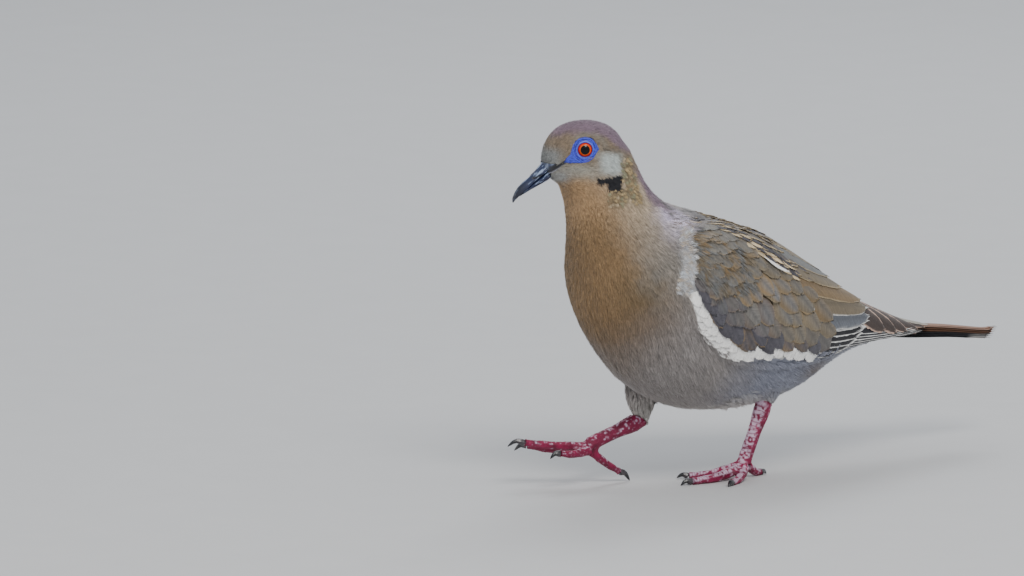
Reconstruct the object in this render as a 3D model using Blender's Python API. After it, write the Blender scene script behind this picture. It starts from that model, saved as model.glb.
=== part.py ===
"""A white-winged dove, life size, caught in mid stride.

The bird faces -X with its left side to -Y and +Z up.  It stands on its left foot and swings the
right foot forward, with the claw of that foot's hind toe still on the ground.

One guide surface runs through the head, neck, trunk and folded wings.  It is a row of oval sections,
each hung between a point on the back and a point below it.  The flesh nodes are lengths of that
guide, parted by thin cuts, and the wings are shells that lie on it.
"""
import math
from collections import namedtuple

import bmesh
import bpy
from mathutils import Matrix, Vector

MM = 0.001

# The model is laid out about a point under the breast, then shifted so that its box is centred.
CENTRE_SHIFT = (-32.6 * MM, 0.0, 0.0)

SEGMENTS = 26                       # points round a flesh section
PROBE = 0.02                        # half the distance over which the guide's slope is read

# How the head is turned: to the bird's right, about an upright axis through the skull.
SKULL_X = -60.0 * MM
HEAD_TURN = math.radians(18.0)
TURN_FULL = 5.0                     # guide stations between which the neck takes up the turn
TURN_NONE = 10.5

Section = namedtuple("Section", "place back_x back_z under_x under_z half_width fullest")

# One line for each station of the guide, in millimetres.  "fullest" lifts the widest level of the
# section above its middle, as a share of half its height.
GUIDE = (
    Section("bill root", -83.0, 145.6, -79.6, 138.9, 3.9, 0.0),
    Section("forehead foot", -82.8, 149.5, -77.4, 137.2, 6.0, 0.0),
    Section("forehead", -80.6, 155.3, -74.8, 135.2, 8.0, 0.05),
    Section("brow", -76.2, 160.2, -73.4, 132.4, 9.6, 0.1),
    Section("eye", -69.6, 162.9, -72.8, 129.2, 10.7, 0.1),
    Section("crown", -60.6, 163.2, -71.8, 125.4, 11.8, 0.05),
    Section("hind crown", -51.6, 160.0, -71.4, 121.0, 13.2, 0.0),
    Section("nape", -44.4, 151.9, -70.7, 116.4, 14.8, 0.0),
    Section("upper neck", -39.4, 142.0, -70.0, 111.2, 17.0, 0.0),
    Section("mid neck", -34.4, 133.0, -68.6, 105.4, 20.6, 0.0),
    Section("neck base", -26.8, 126.2, -66.8, 98.4, 25.4, 0.0),
    Section("shoulder", -17.4, 121.8, -65.0, 89.6, 30.6, 0.0),
    Section("fore breast", -6.0, 118.4, -61.6, 77.4, 34.2, 0.0),
    Section("breast", 6.6, 114.6, -53.0, 61.4, 35.6, 0.0),
    Section("keel", 19.6, 109.8, -38.0, 44.6, 35.6, 0.0),
    Section("belly", 32.0, 102.4, -14.4, 33.2, 34.4, 0.0),
    Section("hind belly", 43.8, 93.8, 13.8, 30.6, 31.8, 0.05),
    Section("flank", 55.0, 86.2, 38.4, 33.2, 28.4, 0.1),
    Section("vent", 66.0, 79.4, 56.4, 39.6, 24.8, 0.1),
    Section("rump", 78.0, 72.2, 72.4, 44.4, 21.2, 0.1),
    Section("tail root", 90.0, 66.4, 86.8, 47.8, 18.0, 0.1),
    Section("primary bases", 102.0, 61.2, 100.4, 49.6, 15.2, 0.1),
    Section("primary tips", 114.0, 57.6, 113.4, 50.6, 13.0, 0.1),
    Section("wing end", 126.0, 54.6, 126.0, 50.6, 11.0, 0.1),
)

# Stations where the flesh is parted, counted along the guide.
HEAD_ENDS = 6.55
NECK_STARTS = 6.62
NECK_ENDS = 10.2
TRUNK_STARTS = 10.25
TRUNK_ENDS = 18.3
RUMP_STARTS = 18.34
RUMP_ENDS = 20.1
TRUNK_SLIMS = 17.0                  # behind this station the trunk draws in under the wings
RUMP_SHARE = 0.66                   # the rump's size against the guide's at its end

# The folded wing on the guide: angles from the back, in degrees, at stations along it.
WING_GAP = 0.6 * MM
WING_EDGE = 0.7 * MM                # thickness at the rim
WING_FRONT = 10.95
WING_PARTED = 17.6                  # between the coverts and the long flight feathers
PRIMARIES_START = 17.64
WING_ROUND = 0.6                    # the lower, the fuller the bulge stays towards the rim
WING_TIP = 22.75
WING_TOP_EDGE = (
    (10.95, 62.0), (11.2, 48.0), (11.7, 36.0), (12.6, 25.0), (14.0, 15.0), (16.0, 8.0),
    (18.0, 5.0), (20.0, 5.0), (22.0, 12.0), (22.75, 30.0),
)
WING_LOW_EDGE = (
    (10.95, 76.0), (11.35, 90.0), (12.3, 104.0), (13.4, 111.0), (14.6, 114.0), (16.8, 114.0),
    (18.2, 115.0), (20.0, 112.0), (21.2, 102.0), (22.0, 88.0), (22.75, 60.0),
)
WING_BULGE = (
    (10.95, 0.6), (11.5, 2.4), (12.6, 3.6), (15.0, 3.8), (17.6, 3.0), (20.0, 2.2), (22.75, 0.5),
)

# The closed tail: a flat, slightly arched plate of feathers.
TAIL_FRONT = Vector((91.6, 0.0, 57.4)) * MM
TAIL_END = Vector((160.0, 0.0, 50.4)) * MM
TAIL_WIDTHS = ((0.0, 7.6), (0.3, 9.8), (0.7, 12.4), (0.88, 12.8), (0.95, 11.6), (0.985, 8.6), (1.0, 4.6))
TAIL_DEPTHS = ((0.0, 3.06), (0.4, 2.16), (1.0, 1.26))
TAIL_CROWDING = 1.5                 # above 1, sections stand closer towards the tip
TAIL_ARCH = 0.16                    # how far the sides drop, as a share of their distance out

# Eyes, in the head's own frame: forward of the skull axis, out to the side, and up.
EYE_PLACE = (6.1 * MM, 6.5 * MM, 151.8 * MM)
EYE_RADIUS = 4.6 * MM
EYE_FORWARD = math.radians(14.0)    # how far the gaze leans forward of straight sideways
LID_INNER = 4.85 * MM
LID_OUTER = 5.3 * MM
SOCKET_RADIUS = 5.6 * MM
LID_OPENING = math.radians(43.0)    # half-angle of the opening that shows the iris
LID_SKIRT = math.radians(82.0)

Bill = namedtuple("Bill", "top_f top_z low_f low_z half_width")
UPPER_BILL = (
    Bill(23.3, 145.2, 21.9, 141.7, 3.5),
    Bill(25.6, 142.8, 24.1, 140.1, 3.0),
    Bill(28.4, 140.0, 26.8, 137.9, 2.6),
    Bill(31.6, 137.9, 29.5, 135.3, 2.3),
    Bill(34.4, 135.1, 32.2, 132.9, 2.0),
    Bill(36.2, 132.2, 34.5, 131.0, 1.4),
    Bill(36.7, 130.0, 35.7, 129.6, 0.8),
    Bill(36.5, 128.9, 36.1, 128.8, 0.3),
)
LOWER_BILL = (
    Bill(21.8, 141.3, 20.2, 137.9, 3.2),
    Bill(23.8, 139.7, 22.7, 136.7, 2.7),
    Bill(26.4, 137.5, 25.7, 135.1, 2.3),
    Bill(29.1, 134.9, 28.5, 133.4, 1.9),
    Bill(31.7, 132.5, 31.3, 131.6, 1.4),
    Bill(33.6, 130.8, 33.5, 130.5, 0.7),
)

# Legs: the ankle and the joint where the toes begin, and where each claw's point comes.
Leg = namedtuple("Leg", "side hip knee ankle toe_joint tarsus_radius")
LEFT_LEG = Leg("left", (25.0, -12.0, 54.0), (27.6, -13.0, 42.0), (25.4, -13.0, 32.4), (15.4, -11.2, 7.2), 3.0)
RIGHT_LEG = Leg("right", (-13.0, 15.0, 54.0), (-19.6, 16.0, 40.0), (-22.6, 13.4, 26.4), (-48.4, 16.0, 18.2), 3.0)

Toe = namedtuple("Toe", "name side root bend end claw_tip radius")
TOES = (
    Toe("toe_middle_left", "left", (13.6, -11.3, 5.0), (0.0, -11.2, 1.9), (-12.6, -10.0, 1.4), (-18.4, -9.4, 0.1), 2.3),
    Toe("toe_outer_left", "left", (14.0, -13.6, 4.8), (7.0, -18.4, 1.7), (0.0, -22.2, 1.15), (-4.4, -25.2, 0.1), 2.1),
    Toe("toe_inner_left", "left", (13.0, -8.8, 5.2), (4.2, -1.8, 1.8), (-3.8, 3.2, 1.2), (-8.4, 5.8, 0.4), 2.1),
    Toe("toe_hind_left", "left", (18.2, -11.0, 4.9), (23.0, -9.6, 1.8), (26.4, -8.8, 1.3), (30.6, -8.0, 0.1), 2.0),
    Toe("toe_middle_right", "right", (-50.0, 16.8, 17.0), (-64.0, 22.6, 18.2), (-75.4, 27.4, 20.0), (-82.6, 30.4, 18.6), 2.2),
    Toe("toe_outer_right", "right", (-49.4, 19.0, 16.0), (-61.0, 27.4, 15.6), (-70.0, 32.6, 17.6), (-74.8, 35.6, 15.4), 1.9),
    Toe("toe_inner_right", "right", (-50.4, 14.2, 15.6), (-60.0, 13.4, 15.2), (-67.0, 13.4, 16.2), (-72.2, 13.6, 14.4), 2.0),
    Toe("toe_hind_right", "right", (-47.0, 16.0, 14.2), (-39.6, 15.6, 8.6), (-33.0, 15.0, 4.6), (-27.6, 14.4, 0.0), 1.9),
)
SHANK_SIDES = 14
SHANK_RINGS = 7
SHANK_RADII = ((0.0, 8.0), (0.35, 9.6), (0.7, 6.6), (1.0, 3.8))
TARSUS_SHAPE = ((0.0, 1.2), (0.16, 1.3), (0.45, 0.98), (0.8, 1.0), (1.0, 1.1))
TARSUS_SIDES = 10
TARSUS_RINGS = 9
ANKLE_GAP = 0.5 * MM
BELLY_GAP = 0.35 * MM
TOE_SIDES = 8
TOE_RINGS = 8
TOE_FLATTEN = 0.92
PAD_SWELL = 0.09                    # how far each pad stands out, as a share of the toe's radius
PADS = 3.0
TOE_THICK, TOE_TAPER = 1.12, 0.34   # shares of the toe's radius: at its root, and lost towards its end
CLAW_SIDES = 6
CLAW_RINGS = 6
CLAW_SUNK = 0.5 * MM                # gap between a toe's end and its claw
CLAW_ARCH = 0.22                    # how high a claw curves, as a share of its length
CLAW_THICK, CLAW_POINT = 1.4 * MM, 0.16 * MM
CLAW_TAPER = 0.7
TOE_GAP = 0.35 * MM


def clear_scene():
    for item in list(bpy.data.objects):
        bpy.data.objects.remove(item, do_unlink=True)


def make_collection(name):
    collection = bpy.data.collections.new(name)
    bpy.context.scene.collection.children.link(collection)
    return collection


def make_material(name, colour, roughness):
    material = bpy.data.materials.new(name)
    material.use_nodes = True
    shader = material.node_tree.nodes["Principled BSDF"]
    shader.inputs["Base Color"].default_value = (*colour, 1.0)
    shader.inputs["Roughness"].default_value = roughness
    shader.inputs["Metallic"].default_value = 0.0
    return material


def blend(values, place):
    """Read a smooth curve through evenly spaced rows of numbers, at a place counted in rows."""
    last = len(values) - 1
    first = min(int(place), last - 1)
    share = place - first
    rows = [values[min(max(first + step, 0), last)] for step in (-1, 0, 1, 2)]
    result = []
    for before, start, end, after in zip(*rows):
        bend = (2 * before - 5 * start + 4 * end - after) * share ** 2
        twist = (3 * start - 3 * end + after - before) * share ** 3
        result.append(0.5 * (2 * start + (end - before) * share + bend + twist))
    return result


def graph(points, place):
    """Read the straight-line graph through (place, value) points."""
    if place <= points[0][0]:
        return points[0][1]
    for (low, start), (high, end) in zip(points, points[1:]):
        if place <= high:
            share = (place - low) / (high - low)
            return start + (end - start) * share
    return points[-1][1]


def eased(share):
    """A smooth rise from 0 to 1, flat at both ends."""
    share = min(max(share, 0.0), 1.0)
    return share * share * (3.0 - 2.0 * share)


def turned(point, amount=1.0):
    """Swing a point with the head, by a share of the whole turn."""
    axis = Vector((SKULL_X, 0.0, 0.0))
    return Matrix.Rotation(-HEAD_TURN * amount, 3, "Z") @ (point - axis) + axis


def head_point(forward, out, up):
    """A point in the turned head's frame: forward of the skull axis, out to the left, and up."""
    return turned(Vector((SKULL_X - forward, -out, up)))


def guide_point(station, angle, grow=0.0, share=1.0):
    """A point on the guide, with angle 0 on the back and a quarter turn on the bird's left."""
    rows = [row[1:] for row in GUIDE]
    back_x, back_z, under_x, under_z, half_width, fullest = blend(rows, station)
    back = Vector((back_x, 0.0, back_z)) * MM
    under = Vector((under_x, 0.0, under_z)) * MM
    middle = (back + under) / 2
    half_height = (back - under) / 2
    reach = share + grow / half_height.length
    level = math.cos(angle) + fullest * math.sin(angle) ** 2
    out = Vector((0.0, -(half_width * MM * share + grow) * math.sin(angle), 0.0))
    amount = 1.0 - eased((station - TURN_FULL) / (TURN_NONE - TURN_FULL))
    return turned(middle + half_height * level * reach + out, amount)


def guide_normal(station, angle):
    """The outward direction of the guide surface."""
    along = guide_point(station + PROBE, angle) - guide_point(station - PROBE, angle)
    around = guide_point(station, angle + PROBE) - guide_point(station, angle - PROBE)
    return around.cross(along).normalized()


def finish_mesh(name, mesh_data, material, collection):
    bmesh.ops.recalc_face_normals(mesh_data, faces=mesh_data.faces)
    mesh = bpy.data.meshes.new(name)
    mesh_data.to_mesh(mesh)
    mesh_data.free()
    mesh.shade_smooth()
    mesh.materials.append(material)
    piece = bpy.data.objects.new(name, mesh)
    collection.objects.link(piece)
    return piece


def loft(name, rings, material, collection, ends="fan"):
    """A closed body through rings of points.  Its ends are fans, or strips for a flat shell."""
    mesh_data = bmesh.new()
    rows = [[mesh_data.verts.new(point) for point in ring] for ring in rings]
    count = len(rings[0])
    for row, after in zip(rows, rows[1:]):
        for index in range(count):
            follow = (index + 1) % count
            mesh_data.faces.new((row[index], row[follow], after[follow], after[index]))
    for row, ring in ((rows[0], rings[0]), (rows[-1], rings[-1])):
        if ends == "fan":
            hub = mesh_data.verts.new(sum(ring, Vector()) / count)
            for index in range(count):
                mesh_data.faces.new((row[index], row[(index + 1) % count], hub))
        else:
            for index in range(count // 2 - 1):
                mesh_data.faces.new((row[index], row[index + 1], row[-2 - index], row[-1 - index]))
    return finish_mesh(name, mesh_data, material, collection)


def flesh(name, start, end, rings, material, collection, grow=0.0, share=None):
    """A length of the guide as a closed body."""
    sections = []
    for row in range(rings):
        station = start + (end - start) * row / (rings - 1)
        size = share(station) if share else 1.0
        sections.append(
            [guide_point(station, math.tau * step / SEGMENTS, grow, size) for step in range(SEGMENTS)]
        )
    return loft(name, sections, material, collection)


def trunk_share(station):
    """How the flesh draws in below the wings towards the tail."""
    return 1.0 - (1.0 - RUMP_SHARE) * eased((station - TRUNK_SLIMS) / (RUMP_ENDS - TRUNK_SLIMS))


def wing(name, side, start, end, rings, across, material, collection):
    """A shell on the guide, thickest along its middle and thin at its rim."""
    sections = []
    for row in range(rings):
        station = start + (end - start) * row / (rings - 1)
        top = math.radians(graph(WING_TOP_EDGE, station))
        low = math.radians(graph(WING_LOW_EDGE, station))
        bulge = graph(WING_BULGE, station) * MM
        inner = []
        outer = []
        for step in range(across + 1):
            share = step / across
            angle = side * (top + (low - top) * share)
            normal = guide_normal(station, angle)
            base = guide_point(station, angle)
            depth = WING_EDGE + bulge * math.sin(math.pi * share) ** WING_ROUND
            inner.append(base + normal * WING_GAP)
            outer.append(base + normal * (WING_GAP + depth))
        sections.append(outer + inner[::-1])
    return loft(name, sections, material, collection, ends="strip")


def tail(material, collection):
    rings = 13
    points = 16
    line = TAIL_END - TAIL_FRONT
    along = line.normalized()
    up = Vector((0.0, -1.0, 0.0)).cross(along)
    if up.z < 0:
        up = -up
    sections = []
    for row in range(rings):
        share = 1.0 - (1.0 - row / (rings - 1)) ** TAIL_CROWDING
        half_width = graph(TAIL_WIDTHS, share) * MM
        half_depth = graph(TAIL_DEPTHS, share) * MM
        ring = []
        for step in range(points):
            angle = math.tau * step / points
            out = half_width * math.sin(angle)
            rise = half_depth * math.cos(angle) - TAIL_ARCH * abs(out)
            ring.append(TAIL_FRONT + line * share + Vector((0.0, -out, 0.0)) + up * rise)
        sections.append(ring)
    return loft("tail", sections, material, collection)


def bill_half(name, stations, lean, material, collection):
    """One half of the bill.  Its lean flattens the side that meets the other half."""
    rings = 10
    points = 12
    sections = []
    for row in range(rings):
        place = (len(stations) - 1) * row / (rings - 1)
        top_f, top_z, low_f, low_z, half_width = [value * MM for value in blend(stations, place)]
        ring = []
        for step in range(points):
            angle = math.tau * step / points
            share = 0.5 + 0.5 * (math.cos(angle) + lean * math.sin(angle) ** 2)
            forward = low_f + (top_f - low_f) * share
            up = low_z + (top_z - low_z) * share
            ring.append(head_point(forward, half_width * math.sin(angle), up))
        sections.append(ring)
    return loft(name, sections, material, collection)


def eye_frame(side):
    """The eye's place and gaze, as a matrix whose Z axis is the gaze."""
    forward, out, up = EYE_PLACE
    centre = head_point(forward, side * out, up)
    ahead = head_point(forward + math.sin(EYE_FORWARD), side * (out + math.cos(EYE_FORWARD)), up)
    gaze = (ahead - centre).normalized()
    return Matrix.Translation(centre) @ gaze.to_track_quat("Z", "Y").to_matrix().to_4x4()


def ball(name, frame, radius, material, collection, segments=14, rings=8):
    mesh_data = bmesh.new()
    bmesh.ops.create_uvsphere(
        mesh_data, u_segments=segments, v_segments=rings, radius=radius, matrix=frame
    )
    return finish_mesh(name, mesh_data, material, collection)


def lids(name, frame, material, collection):
    """The bare ring of skin round the eye: a thin band of a sphere with an opening."""
    around = 16
    steps = 3
    sections = []
    for turn in range(around):
        spin = math.tau * turn / around
        ring = []
        for radius, order in ((LID_OUTER, range(steps + 1)), (LID_INNER, range(steps, -1, -1))):
            for step in order:
                slope = LID_OPENING + (LID_SKIRT - LID_OPENING) * step / steps
                flat = radius * math.sin(slope)
                rise = radius * math.cos(slope)
                ring.append(frame @ Vector((flat * math.cos(spin), flat * math.sin(spin), rise)))
        sections.append(ring)
    mesh_data = bmesh.new()
    rows = [[mesh_data.verts.new(point) for point in ring] for ring in sections]
    for turn in range(around):
        row = rows[turn]
        after = rows[(turn + 1) % around]
        for index in range(len(row)):
            follow = (index + 1) % len(row)
            mesh_data.faces.new((row[index], row[follow], after[follow], after[index]))
    return finish_mesh(name, mesh_data, material, collection)


def even_points(path, count):
    """Evenly spaced points on the smooth curve through a path."""
    rows = [tuple(point) for point in path]
    fine = 12 * (len(rows) - 1)
    trail = [Vector(blend(rows, step / 12)) for step in range(fine + 1)]
    reach = [0.0]
    for point, after in zip(trail, trail[1:]):
        reach.append(reach[-1] + (after - point).length)
    points = []
    for row in range(count):
        goal = reach[-1] * row / (count - 1)
        step = max(index for index in range(fine + 1) if reach[index] <= goal + 1e-9)
        step = min(step, fine - 1)
        share = (goal - reach[step]) / (reach[step + 1] - reach[step])
        points.append(trail[step].lerp(trail[step + 1], share))
    return points


def tube(name, path, radius_at, sides, rings, material, collection, flatten=1.0, joint_line=None):
    """A limb along a smooth path, with nothing below the ground.

    joint_line is (row, direction): the end ring that lies square to a joint shared with a neighbour.
    """
    centres = even_points(path, rings)
    sections = []
    for row, centre in enumerate(centres):
        before = centres[max(row - 1, 0)]
        after = centres[min(row + 1, rings - 1)]
        along = (after - before).normalized()
        if joint_line and row == joint_line[0]:
            along = joint_line[1]
        across = along.cross(Vector((0.0, 0.0, 1.0))).normalized()
        up = across.cross(along)
        radius = radius_at(row / (rings - 1))
        ring = []
        for step in range(sides):
            angle = math.tau * (step + 0.5) / sides
            point = centre + across * radius * math.sin(angle) + up * radius * flatten * math.cos(angle)
            ring.append(Vector((point.x, point.y, max(point.z, 0.0))))
        sections.append(ring)
    return loft(name, sections, material, collection)


def cut_away(piece, cutter):
    cut = piece.modifiers.new("cut", "BOOLEAN")
    cut.operation = "DIFFERENCE"
    cut.solver = "EXACT"
    cut.object = cutter


def as_cutter(piece):
    piece.hide_render = True
    piece.display_type = "WIRE"


def ankle_mitre(leg):
    """The direction square to the joint between shank and tarsus, halfway through the bend."""
    knee, ankle, joint = [Vector(point) for point in (leg.knee, leg.ankle, leg.toe_joint)]
    return ((ankle - knee).normalized() + (joint - ankle).normalized()).normalized()


def shank(leg, cutter, material, collection):
    """The feathered lower leg, from inside the belly to just above the ankle."""
    hip, knee, ankle = [Vector(point) * MM for point in (leg.hip, leg.knee, leg.ankle)]
    mitre = ankle_mitre(leg)
    end = ankle - mitre * ANKLE_GAP
    path = [hip, knee, (knee + end) / 2, end]
    piece = tube(
        f"shank_{leg.side}",
        path,
        lambda share: graph(SHANK_RADII, share) * MM,
        SHANK_SIDES,
        SHANK_RINGS,
        material,
        collection,
        joint_line=(SHANK_RINGS - 1, mitre),
    )
    cut_away(piece, cutter)
    return piece


def tarsus(name, leg, material, collection, grow=0.0):
    """The bare leg from the ankle to the toes, thick at both joints."""
    ankle, joint = [Vector(point) * MM for point in (leg.ankle, leg.toe_joint)]
    return tube(
        name,
        [ankle, (ankle + joint) / 2, joint],
        lambda share: graph(TARSUS_SHAPE, share) * leg.tarsus_radius * MM + grow,
        TARSUS_SIDES,
        TARSUS_RINGS,
        material,
        collection,
        joint_line=(0, ankle_mitre(leg)),
    )


def toe_body(name, toe, material, collection, grow=0.0):
    """A toe with the pads along its sole."""
    path = [Vector(point) * MM for point in (toe.root, toe.bend, toe.end)]

    def pad(share):
        swell = 1.0 + PAD_SWELL * math.cos(share * PADS * math.tau)
        return toe.radius * MM * swell * (TOE_THICK - TOE_TAPER * share) + grow

    return tube(name, path, pad, TOE_SIDES, TOE_RINGS, material, collection, flatten=TOE_FLATTEN)


def claw(toe, horn, collection):
    """The curved claw that follows a toe."""
    bend, end, tip = [Vector(point) * MM for point in (toe.bend, toe.end, toe.claw_tip)]
    start = end + (end - bend).normalized() * CLAW_SUNK
    arch = (start + tip) / 2 + Vector((0.0, 0.0, CLAW_ARCH * (tip - start).length))

    def thin(share):
        return CLAW_THICK * (1.0 - share) ** CLAW_TAPER + CLAW_POINT

    name = toe.name.replace("toe", "claw")
    tube(name, [start, arch, tip], thin, CLAW_SIDES, CLAW_RINGS, horn, collection)


def foot(leg, belly_cutter, skin, horn, collection, cutters):
    """The leg below the ankle, with its toes trimmed where they meet it and each other."""
    bare = tarsus(f"tarsus_{leg.side}", leg, skin, collection)
    cut_away(bare, belly_cutter)
    shin = tarsus(f"tarsus_clearance_{leg.side}", leg, skin, cutters, TOE_GAP)
    as_cutter(shin)
    toes = [toe for toe in TOES if toe.side == leg.side]
    middle = toe_body(f"toe_clearance_{leg.side}", toes[0], skin, cutters, TOE_GAP)
    as_cutter(middle)
    for toe in toes:
        piece = toe_body(toe.name, toe, skin, collection)
        cut_away(piece, shin)
        if toe is not toes[0]:
            cut_away(piece, middle)
        claw(toe, horn, collection)


def build():
    clear_scene()
    bird = make_collection("white_winged_dove")
    cutters = make_collection("cutters")

    crown = make_material("plumage_crown", (0.30, 0.24, 0.22), 0.85)
    breast = make_material("plumage_breast", (0.36, 0.29, 0.22), 0.85)
    belly = make_material("plumage_belly", (0.32, 0.30, 0.29), 0.85)
    mantle = make_material("plumage_wing", (0.21, 0.18, 0.15), 0.8)
    primaries = make_material("plumage_flight", (0.08, 0.07, 0.07), 0.7)
    rectrices = make_material("plumage_tail", (0.20, 0.14, 0.10), 0.8)
    bare_orbit = make_material("bare_orbit", (0.06, 0.10, 0.62), 0.6)
    eye_gloss = make_material("eye", (0.45, 0.06, 0.01), 0.15)
    horn = make_material("bill_horn", (0.05, 0.07, 0.11), 0.45)
    claw_horn = make_material("claw_horn", (0.03, 0.03, 0.04), 0.4)
    scales = make_material("leg_scales", (0.36, 0.05, 0.08), 0.6)

    head = flesh("head", 0.0, HEAD_ENDS, 17, crown, bird)
    flesh("neck", NECK_STARTS, NECK_ENDS, 8, breast, bird)
    flesh("trunk", TRUNK_STARTS, TRUNK_ENDS, 19, belly, bird, share=trunk_share)
    flesh("rump", RUMP_STARTS, RUMP_ENDS, 5, belly, bird, share=trunk_share)
    tail(rectrices, bird)

    for side, word in ((1.0, "left"), (-1.0, "right")):
        wing(f"wing_{word}", side, WING_FRONT, WING_PARTED, 17, 8, mantle, bird)
        wing(f"primaries_{word}", side, PRIMARIES_START, WING_TIP, 11, 7, primaries, bird)
        frame = eye_frame(side)
        ball(f"eye_{word}", frame, EYE_RADIUS, eye_gloss, bird)
        lids(f"lids_{word}", frame, bare_orbit, bird)
        socket = ball(f"socket_{word}", frame, SOCKET_RADIUS, bare_orbit, cutters, 16, 8)
        as_cutter(socket)
        cut_away(head, socket)

    bill_half("bill_upper", UPPER_BILL, -0.5, horn, bird)
    bill_half("bill_lower", LOWER_BILL, 0.5, horn, bird)

    belly_cutter = flesh("belly_clearance", NECK_ENDS, TRUNK_ENDS, 19, belly, cutters, BELLY_GAP, trunk_share)
    as_cutter(belly_cutter)
    for leg in (LEFT_LEG, RIGHT_LEG):
        shank(leg, belly_cutter, belly, bird)
        foot(leg, belly_cutter, scales, claw_horn, bird, cutters)

    root = bpy.data.objects.new("root", None)
    root.location = CENTRE_SHIFT
    bird.objects.link(root)
    for piece in list(bird.objects) + list(cutters.objects):
        if piece is not root:
            piece.parent = root


build()
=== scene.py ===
"""Looks of the white-winged dove: one skin, a coat of feather tufts and vanes, bill, eyes, legs."""
import math

import bpy
import numpy as np
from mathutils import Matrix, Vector
from mathutils.bvhtree import BVHTree


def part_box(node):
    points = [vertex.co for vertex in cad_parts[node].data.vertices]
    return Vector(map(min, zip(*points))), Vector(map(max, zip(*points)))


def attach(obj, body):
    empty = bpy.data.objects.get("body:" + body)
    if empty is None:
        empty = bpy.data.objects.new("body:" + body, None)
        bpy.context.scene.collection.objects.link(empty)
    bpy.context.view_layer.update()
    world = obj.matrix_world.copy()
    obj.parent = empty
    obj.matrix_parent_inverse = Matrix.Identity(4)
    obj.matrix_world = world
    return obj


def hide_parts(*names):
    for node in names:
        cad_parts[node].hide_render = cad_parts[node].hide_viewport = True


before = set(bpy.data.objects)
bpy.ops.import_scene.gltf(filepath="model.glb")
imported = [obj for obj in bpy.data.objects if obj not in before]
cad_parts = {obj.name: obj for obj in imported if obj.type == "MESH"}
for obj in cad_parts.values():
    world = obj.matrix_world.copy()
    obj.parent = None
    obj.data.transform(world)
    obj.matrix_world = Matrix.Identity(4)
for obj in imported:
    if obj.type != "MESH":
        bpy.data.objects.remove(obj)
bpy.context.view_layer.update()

MM = 0.001                          # all arrays below are in millimetres, meshes in metres
THIN = 1.0
UP = np.array([0.0, 0.0, 1.0])
REARWARD = np.array([1.0, 0.0, 0.0])
SIDES = {"left": 1, "right": -1}    # the left side is where y is negative
TOES = ("middle", "outer", "inner", "hind")


# ---------------------------------------------------------------- small numpy tools

def unit(a):
    """Vectors drawn to a length of one."""
    return a / np.maximum(np.linalg.norm(a, axis=-1, keepdims=True), 1e-9)


def dot(a, b):
    return (a * b).sum(-1)


def flat_on(normal, way):
    """A way, laid flat on a surface."""
    return unit(way - dot(way, normal)[:, None] * normal)


def step(low, high, x):
    """0 up to low, 1 from high on, and smooth between."""
    t = np.clip((x - low) / (high - low), 0.0, 1.0)
    return t * t * (3.0 - 2.0 * t)


def blob(*terms, power=2):
    """1 at a middle and 0 far from it. Each term is how far from the middle, and the reach that way."""
    return np.exp(-sum((away / reach) ** power for away, reach in terms))


def mix(a, b, t):
    """a where t is 0, b where it is 1. t may also be True or False."""
    t = np.asarray(t)[..., None]
    return np.asarray(a) * (1.0 - t) + np.asarray(b) * t


def from_table(x, rows):
    """The value at x in a table of (x, value) rows."""
    return np.interp(x, *np.transpose(rows))


HASH = (73856093, 19349663, 83492791, 1274126177)


def noise(p, size, seed=0):
    """Smooth value noise from -1 to 1, with lumps of the given size."""
    q = p / size + seed * 17.31
    cell = np.floor(q).astype(np.int64)
    f = q - cell
    f = f * f * (3 - 2 * f)
    total = 0.0
    for corner in np.ndindex(2, 2, 2):
        c = (cell + corner) * HASH[:3]
        h = c[..., 0] ^ c[..., 1] ^ c[..., 2]
        h = (h ^ (h >> 13)) * HASH[3]
        h = ((h ^ (h >> 16)) & 0xFFFF) / 0xFFFF
        w = np.where(corner, f, 1 - f)
        total = total + h * w[..., 0] * w[..., 1] * w[..., 2]
    return total * 2 - 1


def lin(r, g, b):
    """A colour given in sRGB, 0 to 255, as linear values."""
    c = np.array([r, g, b]) / 255.0
    return np.where(c <= 0.04045, c / 12.92, ((c + 0.055) / 1.055) ** 2.4)


# ---------------------------------------------------------------- meshes

def put(name, data):
    """A new object in the scene."""
    o = bpy.data.objects.new(name, data)
    bpy.context.scene.collection.objects.link(o)
    return o


def floats(values):
    """Values in the form that a mesh takes."""
    return np.asarray(values).astype(np.float32).ravel()


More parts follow.
